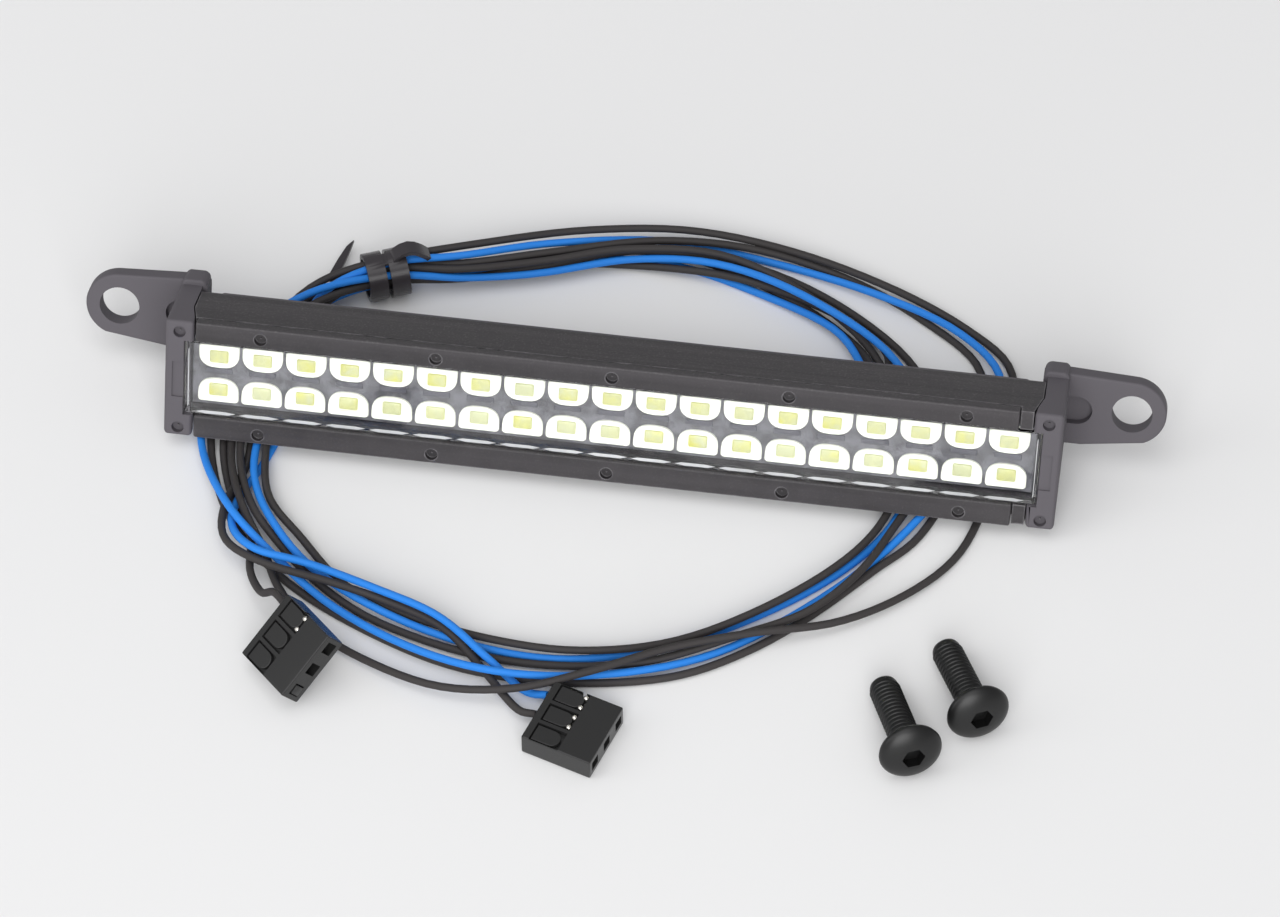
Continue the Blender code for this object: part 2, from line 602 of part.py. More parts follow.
def tie(layout, parts, cutters, paint):
    """A flat tie: two wraps round the leads, a bowed end above them and a pointed tail."""
    frame = bpy.data.objects.new("tie_frame", None)
    frame.parent = layout
    frame.location = Vector(TIE_AT) * MM
    frame.rotation_euler = (0.0, 0.0, math.radians(TIE_TURN))
    parts.objects.link(frame)
    inner, outer = TIE_RADII
    loops = [circle((0, 0), outer, 28), circle((0, 0), inner, 28)]
    first = outline_mesh("cable_tie", loops, TIE_WIDTH, END_VIEW, (TIE_WRAPS[0], 0, 0))
    body = piece("cable_tie", first, paint, frame, parts)
    second = outline_mesh("tie_wrap", loops, TIE_WIDTH, END_VIEW, (TIE_WRAPS[1], 0, 0))
    bridge = box_mesh("tie_bridge", (-1.6, -0.7, outer - 0.42), (1.6, 0.7, outer - 0.08))
    bow = [
        (0.9, 1.9), (0.9, 2.6), (1.6, 3.3), (2.5, 3.55), (3.4, 3.1), (4.6, 1.9),
        (4.3, 1.5), (3.2, 2.6), (2.5, 3.0), (1.9, 2.8), (1.7, 1.9),
    ]
    bowed = outline_mesh("tie_bow", [bow], 1.5, FRONT_VIEW, (0, 0.75, 0))
    tail = [
        (-1.6, 2.0), (-1.0, 2.35), (-4.25, 2.65), (-3.35, 3.9), (-2.45, 5.3), (-1.75, 6.5),
        (-2.75, 5.85), (-4.1, 4.3), (-5.1, 3.0), (-5.7, 2.2), (-5.2, 1.75),
    ]
    pointed = outline_mesh("tie_tail", [tail], 0.5, TOP_VIEW, (0, 0, -1.6))
    for name, mesh in {"tie_wrap": second, "tie_bridge": bridge, "tie_bow": bowed, "tie_tail": pointed}.items():
        boolean(body, cutter(name, mesh, frame, cutters), "UNION")


def screw(name, place, toward, layout, parts, cutters, paint):
    """A button-head screw, resting on the rim of its head and on its tip."""
    tilt = math.radians(SCREW_TILT)
    flat = Vector((-toward[0], -toward[1], 0.0)).normalized()
    axis = flat * math.cos(tilt) + Vector((0, 0, math.sin(tilt)))
    angles = [math.radians(a) for a in range(75, -1, -15)]
    dome = [(HEAD * math.cos(a), 0.3 + (HEAD_HIGH - 0.3) * math.sin(a)) for a in angles]
    shank = [(SHANK, 0.0), (SHANK, 0.5 - LENGTH), (SHANK - 0.4, -LENGTH), (0.0, -LENGTH)]
    profile = [(0.0, HEAD_HIGH), *dome, (HEAD, 0.0), *shank]
    mesh = bpy.data.meshes.new(name)
    edges = [(i, i + 1) for i in range(len(profile) - 1)]
    mesh.from_pydata([(r * MM, 0, z * MM) for r, z in profile], edges, [])
    body = piece(name, mesh, paint, layout, parts)
    body.location = Vector((*place, HEAD * math.cos(tilt) + 0.01)) * MM
    body.rotation_euler = axis.to_track_quat("Z", "Y").to_euler()
    turned = body.modifiers.new("turned", "SCREW")
    turned.steps = 32
    turned.render_steps = 32
    turned.use_merge_vertices = True
    turned.merge_threshold = 0.00001
    turned.use_smooth_shade = False
    hexagon = circle((0, 0), HEX / math.sqrt(3), 6)
    key_mesh = outline_mesh(name + "_key", [hexagon], 2.6, TOP_VIEW, (0, 0, HEAD_HIGH + 0.1))
    key = cutter(name + "_key", key_mesh, layout, cutters)
    key.location = body.location
    key.rotation_euler = body.rotation_euler
    boolean(body, key, "DIFFERENCE")


def main():
    clear_scene()
    parts = collection("led_light_bar")
    cutters = collection("cutters")
    layout = bpy.data.objects.new("layout", None)
    layout.location = (0.0, BAR_Y * MM, 0.0)
    parts.objects.link(layout)
    bar = bpy.data.objects.new("bar_frame", None)
    bar.parent = layout
    bar.location = (0.0, 0.0, RIDE * MM)
    bar.rotation_euler = (-LEAN, 0.0, 0.0)
    parts.objects.link(bar)
    charcoal = charcoal_plastic()
    housing(bar, parts, cutters, charcoal)
    strips(bar, parts, cutters, charcoal)
    for side in (-1, 1):
        cap(side, bar, parts, cutters, charcoal)
    lens(bar, parts, cutters, clear_plastic())
    leds(bar, parts, led_ceramic())
    led_board(bar, parts, board_mask())
    rear_cover(bar, parts, cutters, charcoal)
    black = black_insulation()
    gland(bar, parts, black)
    lead("blue_lead", BLUE_ROUTE, blue_insulation(), parts, layout)
    lead("black_lead_1", BLACK_1_ROUTE, black, parts, layout)
    lead("black_lead_2", BLACK_2_ROUTE, black, parts, layout)
    moulded = socket_plastic()
    metal = contact_metal()
    frame_1 = socket_frame("socket_1", SOCKET_1, layout, parts)
    frame_2 = socket_frame("socket_2", SOCKET_2, layout, parts)
    socket("socket_1", frame_1, parts, cutters, moulded)
    socket("socket_2", frame_2, parts, cutters, moulded)
    contact("contact_black_1", 1, frame_1, parts, metal)
    contact("contact_black_2", 0, frame_2, parts, metal)
    contact("contact_blue", 1, frame_2, parts, metal)
    blanking_plug(frame_1, parts, moulded)
    tie(layout, parts, cutters, tie_plastic())
    oxide = black_oxide()
    for name, (place, toward) in SCREWS.items():
        screw(name, place, toward, layout, parts, cutters, oxide)


if __name__ == "__main__":
    main()
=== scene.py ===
"""Scale-model LED light bar with its leads, sockets, tie and two loose screws.

Sizes are in millimetres, and MM turns them into metres. The bar's own frame has x along the bar,
b from its front to its back and u up its front face. BAR_PLACE leans it back onto its leads.
"""

import math

import bmesh
import bpy
from mathutils import Euler, Matrix, Vector


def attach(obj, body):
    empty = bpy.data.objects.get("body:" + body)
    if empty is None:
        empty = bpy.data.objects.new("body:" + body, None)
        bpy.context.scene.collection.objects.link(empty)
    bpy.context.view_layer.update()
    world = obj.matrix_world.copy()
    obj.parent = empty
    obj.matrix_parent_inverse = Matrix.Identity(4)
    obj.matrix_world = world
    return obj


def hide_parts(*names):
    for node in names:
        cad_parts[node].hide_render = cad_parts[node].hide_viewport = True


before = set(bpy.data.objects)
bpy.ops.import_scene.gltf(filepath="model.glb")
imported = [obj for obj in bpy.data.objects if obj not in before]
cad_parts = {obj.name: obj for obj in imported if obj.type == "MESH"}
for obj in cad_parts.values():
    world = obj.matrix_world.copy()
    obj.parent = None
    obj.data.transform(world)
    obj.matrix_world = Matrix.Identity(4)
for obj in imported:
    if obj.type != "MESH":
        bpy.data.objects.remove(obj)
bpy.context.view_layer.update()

bl_info = {
    "name": "LED light bar",
    "version": (1, 0, 0),
    "blender": (4, 5, 0),
    "location": "3D View > Sidebar > Light Bar",
    "description": "Builds a scale-model LED light bar with its leads and screws",
    "category": "Object",
}

MM = 0.001
BODY = "light_bar"

# The bar as a whole
LEAN = math.radians(24.0)
SLOPE = math.tan(LEAN)
BAR_Y = 7.76
RIDE = 1.7
HALF_BAR = 44.5
HEIGHT = 12.8
DEPTH = 10.8
GAP = 0.12

# Housing, strips and caps
CAP_FRONT_X = 41.65
CAP_BACK_X = 42.35
WEDGE = (0.6, 3.5)
HOUSING_BACK = 7.75
WINDOW = (2.45, 10.65)
STRIP_ENDS = (-41.5, 40.15)
STRIP_THICK = 1.2
NECK = 0.3
LENS_X = 42.5
LENS = (2.52, 10.58)
LENS_FRONT = 0.35
LENS_BACK = 3.0
LENS_WALL = 0.45

# Ears
EAR_THICK = 1.8
EAR_X = 50.92
EAR_U = 9.2
EAR_RADIUS = 3.43
EAR_HOLE = 2.02
EAR_ROOT = (5.2, 13.0)
POCKET_ROOT = 44.56
POCKET_X = {-1: 44.7, 1: 45.5}
POCKET_RADIUS = 1.5
POCKET_U = 9.0

# Stage: camera distance and half the floor's width in metres, floor thickness in millimetres
CAMERA_DISTANCE = 0.59
FLOOR_HALF = 0.75
FLOOR_THICK = 10.0

# Moulded bolt heads
BOLT_ROWS = (1.0, 11.62)
CAP_BOLT_X = 43.08
GROOVE = 0.24
GROOVE_DEEP = 0.6

# LEDs
LED_COUNT = 19
LED_SIZE = (4.05, 2.56)
LED_ROWS = (8.56, 4.78)
LED_FRONT = 1.75
LED_BACK = 3.05
BOARD = (2.15, 4.2)
ARCH_WIDE = 0.72
ARCH_HIGH = 0.85

# Rear cover and gland
COVER = (8.05, 9.2)
GLAND_X = 25.1
GLAND_U = 7.12
GLAND = (9.5, 12.62)
GLAND_SIZE = (4.8, 2.6)

# Three-way sockets: length along the leads, width, thickness
SOCKET = (7.35, 7.37, 2.5)
WAY = 2.54
WAY_HOLE = 1.24
WAY_DEEP = 5.0
SOCKET_1 = ((-26.84, -25.76, 3.70), (35.3, -8.4, -46.8))
SOCKET_2 = ((1.05, -29.85, 1.27), (0.0, 0.0, -18.0))

# Tie
TIE_AT = (-25.8, 22.9, 2.55)
TIE_TURN = 23.3
TIE_RADII = (1.96, 2.5)
TIE_WRAPS = (-1.15, 1.15)
TIE_WIDTH = 1.9

# Screws: shank radius, head radius, head height, length
SHANK = 1.5
HEAD = 3.13
HEAD_HIGH = 1.65
SCREW_LENGTH = 9.2
HEX = 2.0
SCREW_TILT = 10.6
SCREWS = {
    "screw_left": ((33.4, -28.87), (-3.8, 9.1)),
    "screw_right": ((39.3, -23.46), (-4.2, 8.8)),
}

# Leads: how many points each smooth route is read at
LEAD_POINTS = 380

# Routes of the leads round the bar: x, distance behind the bar's front edge, height
BLUE_ROUTE = [
    (24, 14.7, 3), (24, 16.9, 1.9), (20.3, 22.8, 1.3), (12.3, 27.1, 0.5), (3, 29.8, 0.4),
    (-7, 29.4, 0.4), (-16.7, 26, 0.5), (-25.3, 23.1, 1.3), (-32.1, 19, 0.9), (-35.1, 11.9, 0.4),
    (-35.2, 4.5, 0.6), (-34.7, -3.5, 1.6), (-31.7, -9.6, 2.1), (-26.5, -14.7, 1.6),
    (-18.6, -18.4, 0.8), (-10, -20.7, 0.5), (-1.5, -21.1, 0.4), (7.4, -18.8, 0.4), (15.5, -14.3, 0.4),
    (23.3, -7.9, 0.4), (28.4, -0.9, 0.4), (30.2, 6.5, 0.7), (29.7, 13.8, 1.4), (25.6, 20.1, 2.4),
    (16.6, 25.8, 2.7), (7.6, 29.2, 2.1), (-1.3, 29, 1.7), (-10.3, 25.9, 1.7), (-17.7, 23.9, 2.1),
    (-25.3, 22.1, 3.3), (-32.7, 18.3, 3.9), (-38.9, 13.6, 1.5), (-41.3, 6.5, 0.4), (-40.4, -0.9, 1.3),
    (-36.4, -8.7, 3.1), (-31.1, -13.6, 2.3), (-24.2, -18.5, 1.3), (-15.2, -22.9, 1.8),
    (-6.3, -24.7, 2.2), (3.1, -23, 1.3), (12.4, -19, 0.5), (20.2, -12.9, 0.4), (27.3, -5.2, 0.5),
    (32.2, 2.1, 1.1), (36, 9.9, 1.2), (37.5, 18.6, 1.2), (32.6, 24.2, 1.4), (23.5, 28.3, 1.2),
    (12.5, 31.6, 0.4), (1.6, 32.5, 0.9), (-9.3, 29.4, 2.5), (-18.2, 25.4, 3.8), (-25.6, 23.2, 3.9),
    (-31.5, 19.3, 3), (-33.4, 13.3, 1.3), (-32.7, 5.9, 0.7), (-34.1, -1, 0.4), (-35.7, -6.5, 1.2),
    (-35.5, -10.9, 2.3), (-32.6, -13.9, 3.1), (-27.2, -14.9, 3), (-20.4, -16.8, 2.8),
    (-13.7, -19.1, 2.5), (-8.2, -23, 1.8), (-4.4, -25.4, 0.6), (-1.9, -26.2, 1.3),
]
BLACK_2_ROUTE = [
    (25.1, 14.7, 3), (25.1, 16.9, 1.9), (22.3, 21.8, 0.6), (15.4, 26.8, 0.4), (5.1, 30.7, 0.6),
    (-5.7, 29.7, 1.7), (-16.6, 25.5, 2.1), (-26, 23.1, 2), (-31.3, 18.9, 1.8), (-33.9, 12.7, 0.4),
    (-34.4, 5.5, 0.8), (-34, -1.1, 1.3), (-32.6, -6.4, 1.6), (-28.9, -10.3, 1.1), (-23.6, -15.3, 0.7),
    (-16.6, -18.1, 0.6), (-8.4, -20, 0.9), (0.1, -20.5, 1.3), (8.6, -18.4, 1.3), (16.1, -14, 1.4),
    (23.2, -7.6, 1.3), (27.4, -1.3, 1.1), (28.9, 6.1, 0.6), (28, 13.6, 0.4), (23.7, 21.4, 1.1),
    (16.4, 26.7, 2.1), (7.8, 30.2, 2.4), (-1.7, 29.5, 2.7), (-10.2, 26.6, 2.8), (-18.1, 24.1, 3.2),
    (-25.8, 23.2, 3), (-32.5, 19.4, 2.3), (-37.4, 14, 1.4), (-40, 7, 0.8), (-39.7, -0.1, 0.5),
    (-36.8, -7.6, 0.4), (-31.8, -13.5, 0.4), (-25, -18.2, 0.4), (-15.2, -22.4, 0.4),
    (-7.3, -23.9, 0.4), (1.6, -23.6, 0.4), (9.9, -21.6, 0.4), (16.4, -17.7, 0.4), (22, -12.6, 0.4),
    (27.5, -6.3, 0.5), (31.4, -1.5, 0.4), (34.2, 5.9, 0.4), (35.6, 13.1, 0.4), (35.1, 20.6, 0.4),
    (29.1, 25.9, 0.4), (20.9, 30.3, 0.5), (11, 32.4, 1.2), (1.1, 31.5, 2.1), (-9.2, 28, 2.8),
    (-18.3, 25, 3), (-26.2, 24.2, 2.6), (-32.2, 20.2, 1.5), (-35.6, 12.9, 1.2), (-36.1, 5.7, 0.8),
    (-35.8, -1.6, 0.5), (-36.8, -7.9, 1.8), (-35.9, -12.4, 2.1), (-31.5, -15.2, 2.7),
    (-24.6, -16.5, 2.5), (-18.2, -17.7, 1.7), (-12.9, -19.8, 1.4), (-8.6, -23.9, 1.2),
    (-4.8, -27.9, 1.1), (-2.7, -28.6, 1.3),
]
BLACK_1_ROUTE = [
    (26.2, 14.7, 3), (26.2, 16.9, 1.9), (25.2, 21.6, 0.9), (19, 25.6, 1), (9, 28.3, 1.4),
    (-3.2, 28.9, 0.7), (-14.4, 26.7, 1.3), (-26.1, 23.9, 1.7), (-32.1, 20.4, 0.5), (-36, 13.8, 0.4),
    (-36.9, 6, 0.5), (-36.5, -1.2, 1.4), (-34.4, -7.3, 2.1), (-31.3, -11, 1.3), (-26.5, -15.2, 0.6),
    (-20.2, -18.9, 0.4), (-11, -21.6, 0.5), (-2, -22.1, 0.6), (6.9, -20.7, 1), (15.5, -16.5, 1.3),
    (21.8, -12.8, 1.5), (26.3, -7.3, 1.6), (29.2, -0.5, 1.2), (31.6, 6, 0.7), (31.6, 13.6, 0.4),
    (27.5, 21.1, 0.5), (18.6, 27.5, 0.7), (9, 30.4, 1.3), (-1.5, 29.9, 1.9), (-10.4, 26.8, 1.7),
    (-18.2, 24.4, 1.3), (-25.5, 22.2, 2.2), (-32.1, 17.4, 3.4), (-37, 12.3, 1.1), (-38, 5.4, 0.4),
    (-37.3, -1.8, 1.5), (-35, -8.2, 2.5), (-32.1, -12.7, 1.6), (-30, -16.5, 0.8), (-26.4, -20.3, 0.5),
    (-20.8, -23.8, 0.8), (-12.9, -26.6, 1.4), (-5.2, -26.4, 2.1), (1.6, -23.7, 2.4), (8.9, -19.7, 2.2),
    (16.7, -16.6, 2), (24.6, -13.6, 1.2), (30.9, -9, 0.7), (35.4, -3.3, 0.4), (37.6, 4, 0.4),
    (38.9, 12, 0.4), (38.4, 20.5, 0.5), (33.5, 25.1, 0.8), (25.2, 29.2, 1.2), (14.8, 32.4, 1.5),
    (4.2, 33.7, 1.6), (-6.3, 31.9, 2.1), (-16.3, 27.9, 3.2), (-26.4, 23.7, 3.6), (-33, 20.5, 2.2),
    (-37.2, 14.4, 0.6), (-38.9, 7.2, 0.5), (-38.5, 0.1, 0.6), (-36.6, -5.7, 0.4), (-33.8, -10.7, 1.2),
    (-32.9, -15.6, 1.8), (-31.2, -18.8, 2.8), (-29.7, -19.7, 4.2), (-28.2, -21.3, 4.5),
]

BAR_PLACE = Matrix.Translation((0.0, BAR_Y * MM, RIDE * MM)) @ Matrix.Rotation(-LEAN, 4, "X")
LAYOUT = Matrix.Translation((0.0, BAR_Y * MM, 0.0))
FRONT_VIEW = Matrix.Rotation(math.radians(90.0), 4, "X")
END_VIEW = Euler((math.radians(90.0), 0.0, math.radians(90.0))).to_matrix().to_4x4()
TOP_VIEW = Matrix.Identity(4)


def length(name, description, default):
    return bpy.props.FloatProperty(name=name, description=description, default=default, unit="LENGTH")


class LightBarSizes(bpy.types.PropertyGroup):
    """Sizes that a maker may change, in metres."""

    lead_diameter: length("Lead diameter", "Outside of each insulated lead", 0.0008)
    led_pitch: length("LED pitch", "Distance between neighbouring LEDs", 0.00437)
    phosphor_width: length("Phosphor width", "Width of the yellow patch in each LED", 0.0019)
    bolt_radius: length("Bolt head radius", "Radius of the moulded bolt heads", 0.00038)
    bolt_pitch: length("Bolt pitch", "Distance between bolt heads on a strip", 0.0175)
    thread_pitch: length("Thread pitch", "Advance of the screw thread in one turn", 0.0005)


def colour(name, what, value):
    return bpy.props.FloatVectorProperty(
        name=name, description=what, subtype="COLOR", size=3, min=0.0, max=1.0, default=value
    )


class LightBarFinishes(bpy.types.PropertyGroup):
    """Colours that a maker may change."""

    charcoal: colour("Charcoal plastic", "Housing, strips, caps and cover", (0.032, 0.029, 0.0316))
    # Painted highlight: a lighter colour laid along the charcoal's edges, broken up as if rubbed.
    wear_and_highlight: colour("Worn edge", "Where the charcoal plastic is rubbed", (0.3, 0.29, 0.305))
    led_white: colour("LED white", "Ceramic of the LED packages", (0.5, 0.5, 0.49))
    phosphor_pale: colour("Pale phosphor", "Most of the LED centres", (0.47, 0.49, 0.3))
    phosphor_deep: colour("Deep phosphor", "The yellowest LED centres", (0.5, 0.49, 0.09))
    board_light: colour("Board, light", "Tinned parts of the LED board", (0.13, 0.13, 0.145))
    # Painted shade: the colour of the dark patches just beneath each LED, not a colour of the board itself.
    painted_shade_colour: colour("Board, dark", "Dark tracks of the LED board", (0.07, 0.07, 0.085))
    blue: colour("Blue insulation", "Jacket of the blue lead", (0.0, 0.17, 0.66))
    black: colour("Black insulation", "Jackets of the black leads", (0.0045, 0.004, 0.004))
    socket: colour("Socket plastic", "Three-way sockets", (0.0035, 0.0032, 0.0036))
    tie: colour("Tie plastic", "Cable tie", (0.02, 0.0185, 0.019))
    tin: colour("Tinned metal", "Contacts in the sockets", (0.78, 0.75, 0.7))
    oxide: colour("Black oxide", "Steel screws", (0.15, 0.13, 0.132))
    floor: colour("Floor", "Plain pale floor", (0.8, 0.8, 0.8))


def sizes():
    return bpy.context.scene.light_bar_sizes


def finishes():
    return bpy.context.scene.light_bar_finishes


# Shader and geometry trees


def node(tree, kind, inputs=None, **settings):
    """A node with its settings, and its sockets given a value or linked to another socket."""
    made = tree.nodes.new(kind)
    for key, value in settings.items():
        setattr(made, key, value)
    for key, value in (inputs or {}).items():
        if isinstance(value, bpy.types.NodeSocket):
            tree.links.new(value, made.inputs[key])
        else:
            made.inputs[key].default_value = value
    return made


def group_tree(name, kind, inputs, outputs):
    """A node group with named sockets, and its input and output nodes."""
    tree = bpy.data.node_groups.new(name, kind)
    for label, socket_type, value in inputs:
        socket = tree.interface.new_socket(label, in_out="INPUT", socket_type=socket_type)
        if value is not None:
            socket.default_value = value
    for label, socket_type in outputs:
        tree.interface.new_socket(label, in_out="OUTPUT", socket_type=socket_type)
    return tree, tree.nodes.new("NodeGroupInput"), tree.nodes.new("NodeGroupOutput")


def shared_group(name, build):
    return bpy.data.node_groups.get(name) or build(name)


def build_grain(name):
    """Fine moulded grain: a height, and a soft mask that varies the finish."""
    tree, given, made = group_tree(
        name,
        "ShaderNodeTree",
        [("Vector", "NodeSocketVector", None), ("Scale", "NodeSocketFloat", 4000.0)],
        [("Height", "NodeSocketFloat"), ("Mask", "NodeSocketFloat")],
    )
    where = given.outputs["Vector"]
    size = given.outputs["Scale"]
    fine = node(tree, "ShaderNodeTexNoise", {"Vector": where, "Scale": size, "Detail": 3.0})
    wide_scale = node(tree, "ShaderNodeMath", {0: size, 1: 0.09}, operation="MULTIPLY")
    wide = node(
        tree, "ShaderNodeTexNoise", {"Vector": where, "Scale": wide_scale.outputs[0], "Detail": 4.0}
    )
    spread = node(tree, "ShaderNodeMapRange", {"Value": wide.outputs[0], "From Min": 0.3, "From Max": 0.7})
    tree.links.new(fine.outputs[0], made.inputs["Height"])
    tree.links.new(spread.outputs[0], made.inputs["Mask"])
    return tree


def build_edge_wear_and_highlight(name):
    """Painted highlight on edges, broken up as if rubbed: the angle between the surface and its rounded self,
    broken up.
    """
    tree, given, made = group_tree(
        name,
        "ShaderNodeTree",
        [
            ("Vector", "NodeSocketVector", None),
            ("Radius", "NodeSocketFloat", 0.0002),
            ("Scale", "NodeSocketFloat", 900.0),
        ],
        [("Mask", "NodeSocketFloat")],
    )
    rounded = node(tree, "ShaderNodeBevel", {"Radius": given.outputs["Radius"]}, samples=4)
    flat = node(tree, "ShaderNodeNewGeometry")
    along = node(
        tree, "ShaderNodeVectorMath", {0: rounded.outputs[0], 1: flat.outputs["Normal"]},
        operation="DOT_PRODUCT",
    )
    edge = node(
        tree, "ShaderNodeMapRange", {"Value": along.outputs["Value"], "From Min": 0.99, "From Max": 0.8}
    )
    noise = node(
        tree, "ShaderNodeTexNoise", {
            "Vector": given.outputs["Vector"], "Scale": given.outputs["Scale"], "Detail": 4.0,
        }
    )
    broken = node(tree, "ShaderNodeMapRange", {"Value": noise.outputs[0], "From Min": 0.3, "From Max": 0.65})
    mask = node(tree, "ShaderNodeMath", {0: edge.outputs[0], 1: broken.outputs[0]}, operation="MULTIPLY")
    tree.links.new(mask.outputs[0], made.inputs["Mask"])
    return tree


def build_draw_lines(name):
    """Long fine lines along x, as on a drawn or milled face."""
    tree, given, made = group_tree(
        name,
        "ShaderNodeTree",
        [("Vector", "NodeSocketVector", None), ("Scale", "NodeSocketFloat", 2200.0)],
        [("Height", "NodeSocketFloat"), ("Mask", "NodeSocketFloat")],
    )
    stretched = node(
        tree, "ShaderNodeMapping", {"Vector": given.outputs["Vector"], "Scale": (0.012, 1.0, 1.0)}
    )
    fine = node(
        tree,
        "ShaderNodeTexNoise",
        {"Vector": stretched.outputs[0], "Scale": given.outputs["Scale"], "Detail": 2.0},
    )
    wide_scale = node(tree, "ShaderNodeMath", {0: given.outputs["Scale"], 1: 0.3}, operation="MULTIPLY")
    wide = node(
        tree, "ShaderNodeTexNoise", {
            "Vector": stretched.outputs[0], "Scale": wide_scale.outputs[0], "Detail": 3.0,
        }
    )
    spread = node(tree, "ShaderNodeMapRange", {"Value": wide.outputs[0], "From Min": 0.35, "From Max": 0.65})
    tree.links.new(fine.outputs[0], made.inputs["Height"])
    tree.links.new(spread.outputs[0], made.inputs["Mask"])
    return tree


def build_dust(name):
    """A little dust on faces that look up."""
    tree, given, made = group_tree(
        name,
        "ShaderNodeTree",
        [("Vector", "NodeSocketVector", None), ("Amount", "NodeSocketFloat", 0.05)],
        [("Mask", "NodeSocketFloat")],
    )
    flat = node(tree, "ShaderNodeNewGeometry")
    parts = node(tree, "ShaderNodeSeparateXYZ", {0: flat.outputs["Normal"]})
    up = node(tree, "ShaderNodeMapRange", {"Value": parts.outputs["Z"], "From Min": 0.2, "From Max": 1.0})
    specks = node(
        tree, "ShaderNodeTexNoise",
        {"Vector": given.outputs["Vector"], "Scale": 5200.0, "Detail": 2.0},
    )
    few = node(tree, "ShaderNodeMapRange", {"Value": specks.outputs[0], "From Min": 0.55, "From Max": 0.75})
    both = node(tree, "ShaderNodeMath", {0: up.outputs[0], 1: few.outputs[0]}, operation="MULTIPLY")
    mask = node(
        tree, "ShaderNodeMath", {0: both.outputs[0], 1: given.outputs["Amount"]},
        operation="MULTIPLY",
    )
    tree.links.new(mask.outputs[0], made.inputs["Mask"])
    return tree


GROUPS = {
    "moulded_grain": build_grain,
    "edge_wear_and_highlight": build_edge_wear_and_highlight,
    "draw_lines": build_draw_lines,
    "dust": build_dust,
}


def effect(tree, name, inputs):
    made = node(tree, "ShaderNodeGroup", node_tree=shared_group(name, GROUPS[name]))
    for key, value in inputs.items():
        if isinstance(value, bpy.types.NodeSocket):
            tree.links.new(value, made.inputs[key])
        else:
            made.inputs[key].default_value = value
    return made


def new_material(name):
    """An empty material with its shader and object coordinates."""
    made = bpy.data.materials.new(name)
    made.use_nodes = True
    tree = made.node_tree
    place = node(tree, "ShaderNodeTexCoord").outputs["Object"]
    return made, tree, tree.nodes["Principled BSDF"], place


def blend(tree, factor, first, second):
    """A colour between two others by a mask."""
    made = node(tree, "ShaderNodeMix", data_type="RGBA")
    for index, value in ((0, factor), (6, first), (7, second)):
        if isinstance(value, bpy.types.NodeSocket):
            tree.links.new(value, made.inputs[index])
        else:
            made.inputs[index].default_value = value if index == 0 else (*value, 1.0)
    return made.outputs[2]


def scaled(value, factor):
    return tuple(min(1.0, c * factor) for c in value)


def plastic(name, base, rough, grain=4200.0, bump=0.12, wear_and_highlight=None, wear_and_highlight_by=0.6, wear_and_highlight_radius=0.0002,
            lines=False, dust=0.0, metallic=0.0, vary=0.18, gloss=0.5, glow=0.0):
    """A plastic or coated metal with grain, a varied finish, a painted highlight on its edges broken up as if
    rubbed, and a little dust.
    """
    known = bpy.data.materials.get(name)
    if known:
        return known
    made, tree, shader, place = new_material(name)
    grained = effect(tree, "moulded_grain", {"Vector": place, "Scale": grain})
    paint = blend(tree, grained.outputs["Mask"], scaled(base, 1.0 - vary), scaled(base, 1.0 + vary))
    height = grained.outputs["Height"]
    rough_mask = grained.outputs["Mask"]
    if lines:
        turned = node(tree, "ShaderNodeMapping", {"Vector": place, "Rotation": (LEAN, 0.0, 0.0)})
        drawn = effect(tree, "draw_lines", {"Vector": turned.outputs[0], "Scale": 2600.0})
        share = node(tree, "ShaderNodeMath", {0: drawn.outputs["Mask"], 1: 0.55}, operation="MULTIPLY")
        paint = blend(tree, share.outputs[0], paint, scaled(base, 1.9))
        summed = node(
            tree, "ShaderNodeMath", {0: height, 1: drawn.outputs["Height"]}, operation="ADD"
        )
        height = summed.outputs[0]
    # Painted highlight: edges take a lighter colour, broken up by noise as if rubbed.
    if wear_and_highlight is not None:
        edge = effect(tree, "edge_wear_and_highlight", {"Vector": place, "Radius": wear_and_highlight_radius})
        amount = node(tree, "ShaderNodeMath", {0: edge.outputs["Mask"], 1: wear_and_highlight_by}, operation="MULTIPLY")
        paint = blend(tree, amount.outputs[0], paint, wear_and_highlight)
    if dust:
        specks = effect(tree, "dust", {"Vector": place, "Amount": dust})
        paint = blend(tree, specks.outputs["Mask"], paint, (0.55, 0.54, 0.52))
    tree.links.new(paint, shader.inputs["Base Color"])
    finish = node(
        tree, "ShaderNodeMapRange", {"Value": rough_mask, "To Min": rough - 0.06, "To Max": rough + 0.06}
    )
    tree.links.new(finish.outputs[0], shader.inputs["Roughness"])
    relief = node(tree, "ShaderNodeBump", {"Height": height, "Strength": bump, "Distance": 0.00004})
    tree.links.new(relief.outputs[0], shader.inputs["Normal"])
    shader.inputs["Metallic"].default_value = metallic
    shader.inputs["Specular IOR Level"].default_value = gloss
    if glow:
        tree.links.new(paint, shader.inputs["Emission Color"])
        shader.inputs["Emission Strength"].default_value = glow
    return made


def charcoal_plastic():
    return plastic(
        "charcoal_plastic", finishes().charcoal, 0.48, wear_and_highlight=tuple(finishes().wear_and_highlight), wear_and_highlight_by=0.85,
        wear_and_highlight_radius=0.00028, dust=0.1, gloss=0.42,
    )


def drawn_charcoal():
    return plastic(
        "drawn_charcoal", finishes().charcoal, 0.5, wear_and_highlight=tuple(finishes().wear_and_highlight), wear_and_highlight_by=0.85,
        wear_and_highlight_radius=0.00025, dust=0.1, lines=True, bump=0.35, gloss=0.42,
    )


